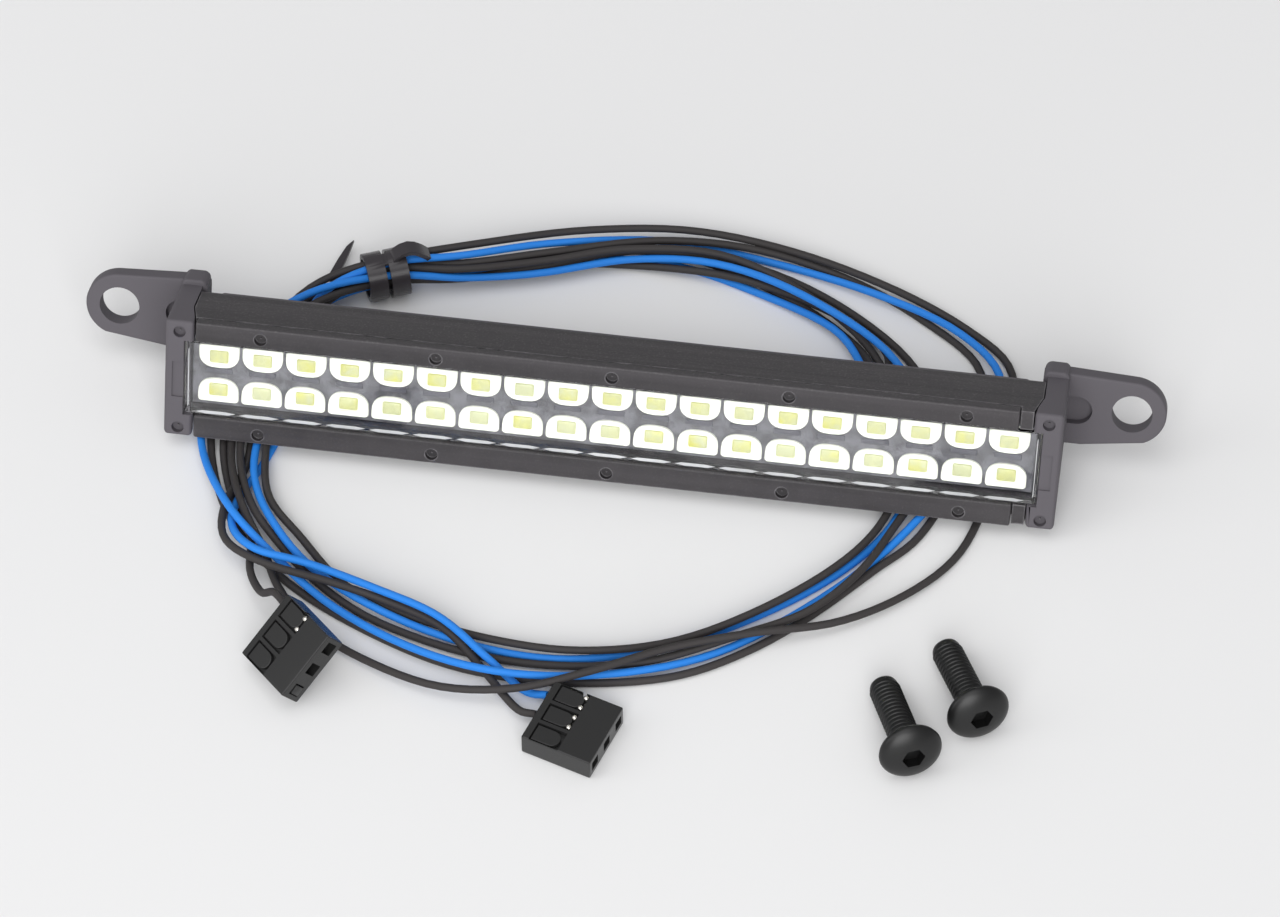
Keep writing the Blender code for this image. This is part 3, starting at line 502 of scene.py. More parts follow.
# Painted highlight: the charcoal made 1.6 times lighter so that the bolt heads' tops look lit.
def lit_bolt_plastic():
    return plastic(
        "lit_bolt_plastic", scaled(finishes().charcoal, 1.6), 0.4, wear_and_highlight=tuple(finishes().wear_and_highlight),
        wear_and_highlight_radius=0.0001,
    )


def black_insulation():
    return plastic("black_insulation", finishes().black, 0.34, grain=1500.0, bump=0.06, gloss=0.22)


def blue_insulation():
    return plastic("blue_insulation", finishes().blue, 0.3, grain=1500.0, bump=0.06, vary=0.08, gloss=0.22)


def socket_plastic():
    return plastic(
        "socket_plastic", finishes().socket, 0.5, grain=5200.0, wear_and_highlight=(0.1, 0.1, 0.102),
        wear_and_highlight_by=0.6, wear_and_highlight_radius=0.00012, bump=0.1, gloss=0.1,
    )


def tie_plastic():
    return plastic("tie_plastic", finishes().tie, 0.42, grain=2600.0, wear_and_highlight=(0.12, 0.115, 0.11), wear_and_highlight_by=0.5,
                   wear_and_highlight_radius=0.00015)


def black_oxide():
    return plastic("black_oxide", finishes().oxide, 0.4, grain=6500.0, bump=0.1, metallic=0.25,
                   wear_and_highlight=(0.32, 0.3, 0.3), wear_and_highlight_by=0.35, wear_and_highlight_radius=0.00012)


def tinned_metal():
    return plastic("tinned_metal", finishes().tin, 0.26, grain=5200.0, bump=0.05, metallic=1.0, vary=0.08)


def led_ceramic():
    return plastic("led_ceramic", finishes().led_white, 0.4, grain=3000.0, bump=0.04, vary=0.02)


def phosphor():
    """Each LED's square takes its depth of yellow from the attribute that its row gave it."""
    made, tree, shader, place = new_material("phosphor")
    depth = node(tree, "ShaderNodeAttribute", attribute_name="yellow")
    grained = effect(tree, "moulded_grain", {"Vector": place, "Scale": 9000.0})
    both = node(
        tree, "ShaderNodeMath", {0: depth.outputs["Fac"], 1: grained.outputs["Mask"]},
        operation="MULTIPLY",
    )
    half = node(tree, "ShaderNodeMapRange", {"Value": both.outputs[0], "From Max": 0.9})
    tree.links.new(
        blend(tree, half.outputs[0], tuple(finishes().phosphor_pale), tuple(finishes().phosphor_deep)),
        shader.inputs["Base Color"],
    )
    rough = node(
        tree, "ShaderNodeMapRange",
        {"Value": grained.outputs["Mask"], "To Min": 0.2, "To Max": 0.34},
    )
    tree.links.new(rough.outputs[0], shader.inputs["Roughness"])
    return made


def lens_painted_highlight():
    """Painted highlights: a bright grey for the sliver shapes along the lens's lower edge and end walls,
    standing in for light reflected in the clear lens.
    """
    return plastic("lens_painted_highlight", (0.55, 0.56, 0.57), 0.15, grain=1200.0, bump=0.04, vary=0.22)


def board_finish():
    """Tinned tracks, mottled between light and dark."""
    made, tree, shader, place = new_material("board_finish")
    patches = node(
        tree, "ShaderNodeTexNoise",
        {"Vector": place, "Scale": 620.0, "Detail": 3.0, "Roughness": 0.6},
    )
    share = node(tree, "ShaderNodeMapRange", {"Value": patches.outputs[0], "From Min": 0.4, "From Max": 0.62})
    tree.links.new(
        blend(tree, share.outputs[0], tuple(finishes().board_light), scaled(finishes().board_light, 0.45)),
        shader.inputs["Base Color"],
    )
    grained = effect(tree, "moulded_grain", {"Vector": place, "Scale": 5000.0})
    rough = node(
        tree, "ShaderNodeMapRange",
        {"Value": grained.outputs["Mask"], "To Min": 0.22, "To Max": 0.45},
    )
    tree.links.new(rough.outputs[0], shader.inputs["Roughness"])
    relief = node(tree, "ShaderNodeBump", {"Height": patches.outputs[0], "Strength": 0.2, "Distance": 0.0001})
    tree.links.new(relief.outputs[0], shader.inputs["Normal"])
    return made


def clear_plastic():
    """Clear moulding that lets light through to the LEDs without a caustic."""
    made, tree, shader, place = new_material("clear_plastic")
    shader.inputs["Base Color"].default_value = (0.98, 0.985, 0.99, 1.0)
    shader.inputs["Transmission Weight"].default_value = 1.0
    shader.inputs["IOR"].default_value = 1.49
    scuffs = effect(tree, "moulded_grain", {"Vector": place, "Scale": 2400.0})
    rough = node(
        tree, "ShaderNodeMapRange",
        {"Value": scuffs.outputs["Mask"], "To Min": 0.01, "To Max": 0.07},
    )
    tree.links.new(rough.outputs[0], shader.inputs["Roughness"])
    relief = node(
        tree, "ShaderNodeBump",
        {"Height": scuffs.outputs["Height"], "Strength": 0.03, "Distance": 0.00003},
    )
    tree.links.new(relief.outputs[0], shader.inputs["Normal"])
    through = node(tree, "ShaderNodeBsdfTransparent")
    rays = node(tree, "ShaderNodeLightPath")
    both = node(
        tree,
        "ShaderNodeMixShader",
        {0: rays.outputs["Is Shadow Ray"], 1: shader.outputs[0], 2: through.outputs[0]},
    )
    tree.links.new(both.outputs[0], tree.nodes["Material Output"].inputs["Surface"])
    return made


def floor_finish():
    made, tree, shader, place = new_material("floor_finish")
    clouds = node(tree, "ShaderNodeTexNoise", {"Vector": place, "Scale": 9.0})
    base = tuple(finishes().floor)
    tree.links.new(blend(tree, clouds.outputs[0], scaled(base, 0.998), base), shader.inputs["Base Color"])
    shader.inputs["Roughness"].default_value = 0.7
    shader.inputs["Specular IOR Level"].default_value = 0.2
    return made


# Meshes


def arc(centre, radius, first, last, steps):
    """Points on an arc from one angle to another, in degrees, both ends included."""
    angles = [math.radians(first + (last - first) * i / steps) for i in range(steps + 1)]
    return [(centre[0] + radius * math.cos(a), centre[1] + radius * math.sin(a)) for a in angles]


def circle(centre, radius, sides):
    return arc(centre, radius, 0.0, 360.0 * (sides - 1) / sides, sides - 1)


def mirrored(loop, side):
    return loop if side > 0 else [(-p, q) for p, q in reversed(loop)]


def prism(loop, low, high, turn=TOP_VIEW):
    """A flat outline drawn out from low to high and turned to its view."""
    mesh = bpy.data.meshes.new("prism")
    work = bmesh.new()
    near = [work.verts.new((p * MM, q * MM, low * MM)) for p, q in loop]
    far = [work.verts.new((p * MM, q * MM, high * MM)) for p, q in loop]
    work.faces.new(list(reversed(near)))
    work.faces.new(far)
    for i in range(len(loop)):
        j = (i + 1) % len(loop)
        work.faces.new((near[i], near[j], far[j], far[i]))
    bmesh.ops.recalc_face_normals(work, faces=work.faces)
    work.to_mesh(mesh)
    work.free()
    mesh.transform(turn)
    return mesh


def block(low, high):
    """A block between two corners, for cuts and for shapes that are bevelled later."""
    return prism(
        [(low[0], low[1]), (high[0], low[1]), (high[0], high[1]), (low[0], high[1])], low[2],
        high[2],
    )


def merged(meshes):
    """Separate closed shapes in one mesh."""
    whole = bpy.data.meshes.new("merged")
    work = bmesh.new()
    for mesh in meshes:
        work.from_mesh(mesh)
        bpy.data.meshes.remove(mesh)
    work.to_mesh(whole)
    work.free()
    return whole


def linked(name, data):
    made = bpy.data.objects.new(name, data)
    bpy.context.scene.collection.objects.link(made)
    return made


def as_mesh(host):
    """The plain mesh of an object with its modifiers carried out."""
    bpy.context.view_layer.update()
    graph = bpy.context.evaluated_depsgraph_get()
    return bpy.data.meshes.new_from_object(host.evaluated_get(graph))


def worked(mesh, *steps):
    """The mesh after its bevel, cut and join steps, smooth between sharp edges."""
    host = linked("work", mesh)
    helpers = []
    for kind, value, *more in steps:
        if kind == "bevel":
            step = host.modifiers.new(kind, "BEVEL")
            step.width = value * MM
            step.segments = more[0]
            step.limit_method = "ANGLE"
            step.angle_limit = math.radians(40.0)
        else:
            helpers.append(linked(kind, value))
            step = host.modifiers.new(kind, "BOOLEAN")
            step.operation = {"cut": "DIFFERENCE", "join": "UNION"}[kind]
            step.solver = "EXACT"
            step.object = helpers[-1]
    made = as_mesh(host)
    for helper in (host, *helpers):
        bpy.data.objects.remove(helper)
    made.polygons.foreach_set("use_smooth", [True] * len(made.polygons))
    made.set_sharp_from_angle(angle=math.radians(38.0))
    return made


def faired(mesh):
    """Normals weighted by face area, so that broad faces stay flat between rounded edges."""
    host = linked("fair", mesh)
    step = host.modifiers.new("fair", "WEIGHTED_NORMAL")
    step.keep_sharp = True
    made = as_mesh(host)
    bpy.data.objects.remove(host)
    return made


def add_piece(name, mesh, paints, place=None, replaces=(), body=BODY):
    """A finished piece at the origin, riding on its body, with its materials."""
    if place is not None:
        mesh.transform(place)
    mesh.name = name
    mesh.materials.clear()
    for paint in paints:
        mesh.materials.append(paint)
    made = linked(name, mesh)
    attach(made, body)
    if replaces:
        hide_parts(*replaces)
    return made


def grown(tree, values, paint):
    """The plain mesh that a geometry tree makes with these inputs."""
    host = linked("grown", bpy.data.meshes.new("grown"))
    step = host.modifiers.new("grown", "NODES")
    step.node_group = tree
    sockets = {s.name: s.identifier for s in tree.interface.items_tree if s.item_type == "SOCKET"}
    for key, value in {**values, "Material": paint}.items():
        step[sockets[key]] = value
    made = as_mesh(host)
    bpy.data.objects.remove(host)
    return made


def finish_tree(tree, made, geometry, given):
    """Realized geometry in its material, which ends each tree."""
    real = node(tree, "GeometryNodeRealizeInstances", {0: geometry})
    paint = node(tree, "GeometryNodeSetMaterial", {0: real.outputs[0], "Material": given.outputs["Material"]})
    tree.links.new(paint.outputs[0], made.inputs[0])
    return tree


def row_tree():
    """Copies of one shape along x, each with its own random number between 0 and 1."""
    tree, given, made = group_tree(
        "row_of_shapes",
        "GeometryNodeTree",
        [
            ("Shape", "NodeSocketObject", None),
            ("Count", "NodeSocketInt", 19),
            ("Pitch", "NodeSocketFloat", 0.004),
            ("Start", "NodeSocketVector", None),
            ("Turn", "NodeSocketVector", None),
            ("Seed", "NodeSocketInt", 7),
            ("Material", "NodeSocketMaterial", None),
        ],
        [("Geometry", "NodeSocketGeometry")],
    )
    step = node(tree, "ShaderNodeCombineXYZ", {0: given.outputs["Pitch"]})
    line = node(
        tree,
        "GeometryNodeMeshLine",
        {
            "Count": given.outputs["Count"], "Start Location": given.outputs["Start"],
            "Offset": step.outputs[0],
        },
    )
    shape = node(tree, "GeometryNodeObjectInfo", {0: given.outputs["Shape"]})
    copies = node(
        tree,
        "GeometryNodeInstanceOnPoints",
        {"Points": line.outputs[0], "Instance": shape.outputs["Geometry"], "Rotation": given.outputs["Turn"]},
    )
    chance = node(tree, "FunctionNodeRandomValue", {"Seed": given.outputs["Seed"]}, data_type="FLOAT")
    kept = node(
        tree,
        "GeometryNodeStoreNamedAttribute",
        {"Geometry": copies.outputs[0], "Name": "yellow", "Value": chance.outputs[1]},
        data_type="FLOAT",
        domain="INSTANCE",
    )
    return finish_tree(tree, made, kept.outputs[0], given)


def row(template, count, pitch, start, paint, turn=(0.0, 0.0, 0.0), seed=7):
    """A row of copies of a mesh. Pitch and start are in millimetres."""
    tree = bpy.data.node_groups.get("row_of_shapes") or row_tree()
    shape = linked("shape", template)
    values = {
        "Shape": shape,
        "Count": count,
        "Pitch": pitch * MM,
        "Start": [c * MM for c in start],
        "Turn": turn,
        "Seed": seed,
    }
    made = grown(tree, values, paint)
    bpy.data.objects.remove(shape)
    return made


def bolt_tree():
    """Moulded bolt heads on a grid in x and u, each a stepped head with a shallow hollow."""
    tree, given, made = group_tree(
        "bolt_heads",
        "GeometryNodeTree",
        [
            ("Radius", "NodeSocketFloat", 0.00055),
            ("Height", "NodeSocketFloat", 0.0002),
            ("Columns", "NodeSocketInt", 5),
            ("Width", "NodeSocketFloat", 0.07),
            ("Rise", "NodeSocketFloat", 0.01062),
            ("Material", "NodeSocketMaterial", None),
        ],
        [("Geometry", "NodeSocketGeometry")],
    )
    disc = node(
        tree, "GeometryNodeMeshCircle", {"Vertices": 24, "Radius": given.outputs["Radius"]},
        fill_type="NGON",
    )
    head = disc.outputs[0]
    for rise, shrink in ((0.72, 1.0), (0.28, 0.8), (0.0, 0.62), (-0.45, 0.9)):
        offset = node(tree, "ShaderNodeMath", {0: given.outputs["Height"], 1: rise}, operation="MULTIPLY")
        step = node(
            tree,
            "GeometryNodeExtrudeMesh",
            {"Mesh": head, "Offset Scale": offset.outputs[0], "Individual": False},
            mode="FACES",
        )
        size = node(
            tree,
            "GeometryNodeScaleElements",
            {"Geometry": step.outputs["Mesh"], "Selection": step.outputs["Top"], "Scale": shrink},
        )
        head = size.outputs[0]
    under = node(tree, "GeometryNodeFlipFaces", {0: disc.outputs[0]})
    both = node(tree, "GeometryNodeJoinGeometry")
    tree.links.new(head, both.inputs[0])
    tree.links.new(under.outputs[0], both.inputs[0])
    closed = node(tree, "GeometryNodeMergeByDistance", {"Geometry": both.outputs[0], "Distance": 1e-6})
    grid = node(
        tree,
        "GeometryNodeMeshGrid",
        {
            "Size X": given.outputs["Width"],
            "Size Y": given.outputs["Rise"],
            "Vertices X": given.outputs["Columns"],
            "Vertices Y": 2,
        },
    )
    copies = node(
        tree, "GeometryNodeInstanceOnPoints",
        {"Points": grid.outputs[0], "Instance": closed.outputs[0]},
    )
    return finish_tree(tree, made, copies.outputs[0], given)


def thread_tree():
    """A V-shaped ridge wound round the shank along -z."""
    tree, given, made = group_tree(
        "screw_thread",
        "GeometryNodeTree",
        [
            ("Pitch", "NodeSocketFloat", 0.0005),
            ("Turns", "NodeSocketFloat", 17.0),
            ("Radius", "NodeSocketFloat", 0.0013),
            ("Ridge", "NodeSocketFloat", 0.00024),
            ("Material", "NodeSocketMaterial", None),
        ],
        [("Geometry", "NodeSocketGeometry")],
    )
    long = node(
        tree, "ShaderNodeMath", {0: given.outputs["Pitch"], 1: given.outputs["Turns"]},
        operation="MULTIPLY",
    )
    coil = node(
        tree,
        "GeometryNodeCurveSpiral",
        {
            "Resolution": 32,
            "Rotations": given.outputs["Turns"],
            "Start Radius": given.outputs["Radius"],
            "End Radius": given.outputs["Radius"],
            "Height": long.outputs[0],
        },
    )
    ridge = node(
        tree, "GeometryNodeCurvePrimitiveCircle",
        {"Resolution": 4, "Radius": given.outputs["Ridge"]},
    )
    upright = node(tree, "GeometryNodeSetCurveNormal", {0: coil.outputs[0]}, mode="Z_UP")
    tube = node(
        tree,
        "GeometryNodeCurveToMesh",
        {"Curve": upright.outputs[0], "Profile Curve": ridge.outputs[0], "Fill Caps": True},
    )
    return finish_tree(tree, made, tube.outputs[0], given)


# Pieces


def wedge_outline(outer_x, clearance):
    """Plan of the space inside a cap, or of what is cut from the housing's end."""
    near, far = CAP_FRONT_X - clearance, CAP_BACK_X - clearance
    return [(outer_x, -1.0), (near, -1.0), (near, WEDGE[0]), (far, WEDGE[1]), (far, 14.0), (outer_x, 14.0)]


def housing_mesh():
    """The long channel: top wall, rounded back corner, back wall and slanted underside."""
    wall, radius = 1.05, 0.9
    top, foot = HEIGHT - 0.05, 0.1
    corner = arc((HOUSING_BACK - radius, top - radius), radius, 90.0, 0.0, 8)
    outer = [(NECK, SLOPE * NECK + foot), (NECK, top), *corner, (HOUSING_BACK, SLOPE * HOUSING_BACK + foot)]
    channel = [
        (-1.0, WINDOW[0] - 0.1),
        (2.8, WINDOW[0] - 0.1),
        (HOUSING_BACK - wall, SLOPE * (HOUSING_BACK - wall) + 1.2),
        (HOUSING_BACK - wall, WINDOW[1] + 0.1),
        (-1.0, WINDOW[1] + 0.1),
    ]
    reach = CAP_BACK_X - GAP
    seat = block((-43.0, -1.0, -1.0), (STRIP_ENDS[1] + GAP, STRIP_THICK + GAP, HEIGHT + 1.0))
    cuts = [("cut", prism(channel, -45.0, 45.0, END_VIEW)), ("cut", seat)]
    for side in (-1, 1):
        cuts.append(("cut", prism(mirrored(wedge_outline(50.0, GAP), side), -20.0, 20.0)))
    return faired(worked(prism(outer, -reach, reach, END_VIEW), *cuts, ("bevel", 0.14, 2)))


def recesses(centres, radius):
    """Round cutters that each moulded bolt head stands in."""
    return merged([prism(circle(c, radius, 32), -GROOVE_DEEP, GROOVE_DEEP, FRONT_VIEW) for c in centres])


def strip_mesh(low, high, row_u):
    section = [
        (0.0, low), (0.0, high), (STRIP_THICK, high),
        (STRIP_THICK, max(low, SLOPE * STRIP_THICK + 0.02)),
    ]
    pitch = sizes().bolt_pitch / MM
    centres = [(pitch * i, row_u) for i in range(-2, 3)]
    radius = sizes().bolt_radius / MM + GROOVE
    body = prism(section, *STRIP_ENDS, END_VIEW)
    return faired(worked(body, ("bevel", 0.2, 3), ("cut", recesses(centres, radius))))


def cap_mesh(side):
    """One end cap: rounded body, ear with its hole and pocket, panel between the bolts, lens notch."""
    section = [(0.0, 0.0), (0.0, HEIGHT), (DEPTH - 0.9, HEIGHT)]
    section += [*arc((DEPTH - 0.9, HEIGHT - 0.9), 0.9, 75.0, 0.0, 5), (DEPTH, SLOPE * DEPTH)]
    ends = sorted((side * CAP_FRONT_X, side * HALF_BAR))
    body = prism(section, *ends, END_VIEW)
    root = HALF_BAR - 1.0
    ear_loop = [(root, EAR_ROOT[0]), (HALF_BAR + 1.6, EAR_ROOT[0])]
    ear_loop += [*arc((EAR_X, EAR_U), EAR_RADIUS, -66.0, 84.0, 36), (root, EAR_ROOT[1])]
    back = DEPTH - 0.02
    ear = worked(prism(mirrored(ear_loop, side), -back, EAR_THICK - back, FRONT_VIEW), ("bevel", 0.25, 3))
    hole = prism(circle((side * EAR_X, EAR_U), EAR_HOLE, 48), -DEPTH - 3.0, 3.0 - DEPTH, FRONT_VIEW)
    pocket = [
        (POCKET_ROOT, POCKET_U - POCKET_RADIUS),
        *arc((POCKET_X[side], POCKET_U), POCKET_RADIUS, -90, 90, 14),
        (POCKET_ROOT, POCKET_U + POCKET_RADIUS),
    ]
    floor = DEPTH - EAR_THICK + 0.38
    hollow = prism(mirrored(pocket, side), -floor - 0.5, 0.42 - DEPTH + EAR_THICK, FRONT_VIEW)
    shoulder = arc((42.65, 12.65), 0.7, 180, 90, 8)
    hump_loop = [(41.95, 11.5), *shoulder, (44.1, 13.35), (HALF_BAR - 0.02, 12.95), (HALF_BAR - 0.02, 11.5)]
    hump = worked(
        prism(mirrored(hump_loop, side), 0.05 - DEPTH, 2.65 - DEPTH, FRONT_VIEW),
        ("bevel", 0.25, 3),
    )
    inside = [(38.0, WEDGE[0]), (CAP_FRONT_X, WEDGE[0]), (CAP_BACK_X, WEDGE[1]), (CAP_BACK_X, 8.1)]
    inside += [(41.9, 8.1), (41.9, 14.0), (38.0, 14.0)]
    notch = sorted((side * 40.0, side * (LENS_X + GAP)))
    panel = sorted((side * 42.3, side * 43.75))
    centres = [(side * CAP_BOLT_X, u) for u in BOLT_ROWS]
    return faired(
        worked(
            body,
            ("bevel", 0.38, 4),
            ("join", ear),
            ("join", hump),
            ("cut", hole),
            ("cut", hollow),
            ("cut", prism(mirrored(inside, side), -20.0, 20.0)),
            ("cut", block((notch[0], -1.0, WINDOW[0]), (notch[1], LENS_BACK + GAP, WINDOW[1]))),
            ("cut", block((panel[0], -1.0, 4.4), (panel[1], 0.15, 8.3))),
            ("cut", recesses(centres, sizes().bolt_radius / MM + GROOVE)),
        )
    )


def lens_mesh():
    """The clear front: a tray with rounded edges, open towards the LEDs."""
    body = block((-LENS_X, LENS_FRONT, LENS[0]), (LENS_X, LENS_BACK, LENS[1]))
    hollow = block(
        (-LENS_X + LENS_WALL, LENS_FRONT + 0.85, LENS[0] + LENS_WALL),
        (LENS_X - LENS_WALL, LENS_BACK + 1.0, LENS[1] - LENS_WALL),
    )
    return faired(worked(body, ("bevel", 0.16, 2), ("cut", hollow)))


def led_shape():
    """One package seen from the front: flat foot, arched top, a tapered well for the phosphor."""
    half_w, half_h = LED_SIZE[0] / 2, LED_SIZE[1] / 2
    arch = []
    for a in range(0, 181, 15):
        across, rise = math.cos(math.radians(a)), math.sin(math.radians(a))
        arch.append(
            (half_w * math.copysign(abs(across) ** ARCH_WIDE, across), half_h * (1.25 * rise**ARCH_HIGH - 0.25))
        )
    foot = [(-half_w + 0.2, -half_h), (half_w - 0.2, -half_h), (half_w, -half_h + 0.25)]
    loop = [*foot, *arch, (-half_w, -half_h + 0.25)]
    body = prism(loop, -LED_BACK, -LED_FRONT, FRONT_VIEW)
    well = sizes().phosphor_width / MM / 2 + 0.1
    low, high = -0.68 * well, 0.82 * well
    hollow = block((-well, LED_FRONT - 0.5, low), (well, LED_FRONT + 0.2, high))
    return worked(body, ("bevel", 0.12, 1), ("cut", hollow))


def phosphor_shape():
    half = sizes().phosphor_width / MM / 2
    return worked(
        block((-half, LED_FRONT + 0.03, -0.66 * half), (half, LED_FRONT + 0.6, 0.8 * half)), ("bevel", 0.2, 3)
    )


def highlight_sliver_shape():
    """One painted highlight on the lens's lower edge, pointed at both ends."""
    loop = [(-2.0, -0.03), (-1.1, -0.17), (1.3, -0.15), (2.0, 0.05), (1.0, 0.17), (-1.4, 0.15)]
    return worked(prism(loop, -0.12, 0.0, FRONT_VIEW), ("bevel", 0.03, 1))


def smooth_point(points, t):
    """A point on the smooth curve through a route's points, at a place counted in points."""
    i = min(int(t), len(points) - 2)
    f = t - i
    before = points[i - 1] if i > 0 else points[0] * 2 - points[1]
    after = points[i + 2] if i + 2 < len(points) else points[-1] * 2 - points[-2]
    weights = (
        (-(f**3) + 2 * f * f - f) / 2,
        (3 * f**3 - 5 * f * f + 2) / 2,
        (-3 * f**3 + 4 * f * f + f) / 2,
        (f**3 - f * f) / 2,
    )
    return sum((p * w for p, w in zip((before, points[i], points[i + 1], after), weights)), Vector((0, 0, 0)))


def lead_piece(name, route, paint, node_name):
    """One lead: a round tube read from the smooth curve through its route."""
    points = [Vector(p) for p in route]
    tube = bpy.data.curves.new(name, "CURVE")
    tube.dimensions = "3D"
    tube.bevel_depth = sizes().lead_diameter / 2
    tube.bevel_resolution = 3
    tube.use_fill_caps = True
    spline = tube.splines.new("POLY")
    spline.points.add(LEAD_POINTS - 1)
    spline.use_smooth = True
    for i, point in enumerate(spline.points):
        place = smooth_point(points, i * (len(points) - 1) / (LEAD_POINTS - 1))
        point.co = (*(LAYOUT @ (place * MM)), 1.0)
    tube.materials.append(paint)
    made = linked(name, tube)
    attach(made, BODY)
    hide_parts(node_name)
    return made


def socket_place(pose):
    """The middle of a socket: x runs from the leads to the mating end, z is its top."""
    turn = Euler([math.radians(a) for a in pose[1]]).to_matrix().to_4x4()
    return LAYOUT @ Matrix.Translation(Vector(pose[0]) * MM) @ turn


def tongue_outline(y):
    """A latch tongue: square at the leads, rounded towards the mating end."""
    return [
        (-2.75, y - 0.9), (-0.95, y - 0.9), *arc((-0.95, y), 0.9, -70, 70, 8), (-0.95, y + 0.9),
        (-2.75, y + 0.9),
    ]


def socket_mesh():
    """A three-way housing: open ways, latch tongues standing in their windows, a notch in one edge."""
    half = Vector(SOCKET) / 2
    hole, top = WAY_HOLE / 2, half.z
    ways = []
    windows = []
    tongues = []
    for way in (-1, 0, 1):
        y = way * WAY
        ways.append(block((half.x - WAY_DEEP, y - hole, -hole), (half.x + 1, y + hole, hole)))
        windows.append(block((-2.9, y - 1.08, top - 0.5), (0.22, y + 1.08, top + 1)))
        tongue = [(p, min(max(q, y - 0.9), y + 0.9)) for p, q in tongue_outline(y)]
        tongues.append(worked(prism(tongue, top - 0.7, top - 0.06), ("bevel", 0.08, 2)))
    lead_end = [
        block((-half.x - 1, w * WAY - 0.6, -0.6), (-half.x + 0.8, w * WAY + 0.6, 0.6))
        for w in (-1, 0, 1)
    ]
    notch = block((-0.62, half.y - 0.35, top - 0.8), (-0.2, half.y + 1, top + 1))
    body = worked(
        block(-half, half),
        ("bevel", 0.16, 2),
        ("cut", merged(ways)),
        ("cut", merged(windows)),
        ("cut", merged(lead_end)),
        ("cut", notch),
        ("join", merged(tongues)),
    )
    return faired(body)


def contact_mesh(way):
    """The folded contact in one way, with two lance tips that show in the latch window."""
    side, back = 0.45, SOCKET[0] / 2 - WAY_DEEP + 0.2
    box = worked(
        block((back, way * WAY - side, -side), (back + 3.6, way * WAY + side, side)),
        ("cut", block((back + 0.4, way * WAY - 0.28, -0.28), (back + 4.0, way * WAY + 0.28, 0.28))),
        ("bevel", 0.05, 1),
    )
    tips = []
    for offset in (-0.64, 0.64):
        dome = bpy.data.meshes.new("tip")
        work = bmesh.new()
        bmesh.ops.create_icosphere(work, subdivisions=2, radius=0.3 * MM)
        work.to_mesh(dome)
        work.free()
        dome.polygons.foreach_set("use_smooth", [True] * len(dome.polygons))
        dome.transform(Matrix.Translation(Vector((-0.06, way * WAY + offset, 1.05)) * MM))
        tips.append(dome)
    return merged([box, *tips])


def strap_mesh(path, width, thick):
    """A flat strap that follows a path in the x-z plane of the tie, with rounded edges."""
    mesh = bpy.data.meshes.new("strap")
    work = bmesh.new()
    loops = []
    closed = (path[0] - path[-1]).length < 1e-9
    points = path[:-1] if closed else path
    count = len(points)
    for i, point in enumerate(points):
        after = points[(i + 1) % count] if closed or i + 1 < count else points[i]
        before = points[i - 1] if closed or i > 0 else points[i]
        along = (after - before).normalized()
        across = Vector((0, 1, 0)) if abs(along.y) < 0.2 else Vector((1, 0, 0))
        out = along.cross(across).normalized()
        ring = []
        for side, raise_by in ((-1, -1), (1, -1), (1, 1), (-1, 1)):
            ring.append(work.verts.new((point + across * side * width / 2 + out * raise_by * thick / 2) * MM))
        loops.append(ring)
    for i in range(count if closed else count - 1):
        first, second = loops[i], loops[(i + 1) % count]
        for k in range(4):
            work.faces.new((first[k], first[(k + 1) % 4], second[(k + 1) % 4], second[k]))
    if not closed:
        work.faces.new(loops[0])
        work.faces.new(loops[-1])
    bmesh.ops.recalc_face_normals(work, faces=work.faces)
    work.to_mesh(mesh)
    work.free()
    return mesh


def tie_mesh():
    """Two flat wraps round the leads, a bowed end above them and a pointed tail."""
    inner, outer = TIE_RADII
    middle, thick = (inner + outer) / 2, outer - inner
    wraps = []
    for x in TIE_WRAPS:
        ring = [Vector((x, p, q)) for p, q in circle((0, 0), middle, 56)]
        mesh = bpy.data.meshes.new("wrap")
        work = bmesh.new()
        loops = []
        half = TIE_WIDTH / 2
        for point in ring:
            out = Vector((0, point.y, point.z)).normalized()
            corners = ((-half, -1), (half, -1), (half, 1), (-half, 1))
            loops.append([
                work.verts.new((point + Vector((a, 0, 0)) + out * b * thick / 2) * MM) for a, b in corners
            ])
        for i in range(len(ring)):
            for k in range(4):
                first, second = loops[i], loops[(i + 1) % len(ring)]
                work.faces.new((first[k], first[(k + 1) % 4], second[(k + 1) % 4], second[k]))
        bmesh.ops.recalc_face_normals(work, faces=work.faces)
        work.to_mesh(mesh)
        work.free()
        wraps.append(mesh)
    bridge = block((-1.6, -0.7, outer - 0.42), (1.6, 0.7, outer - 0.08))
    bow_ends = [(0.9, 2.2), (1.15, 2.75), (1.75, 3.12), (2.5, 3.27), (3.15, 3.0), (3.9, 2.35), (4.45, 1.72)]
    bow = strap_mesh([Vector((x, 0.0, z)) for x, z in bow_ends], 1.5, 0.5)
    tail = [
        (-1.6, 2.0), (-1.0, 2.35), (-4.25, 2.65), (-3.35, 3.9), (-2.45, 5.3), (-1.75, 6.5),
        (-2.75, 5.85), (-4.1, 4.3), (-5.1, 3.0), (-5.7, 2.2), (-5.2, 1.75),
    ]
    pointed = worked(prism(tail, -1.85, -1.35), ("bevel", 0.1, 2))
    body = worked(wraps[0], ("join", wraps[1]), ("join", bridge), ("join", bow), ("bevel", 0.1, 2))
    whole = worked(body, ("join", pointed))
    return faired(whole)


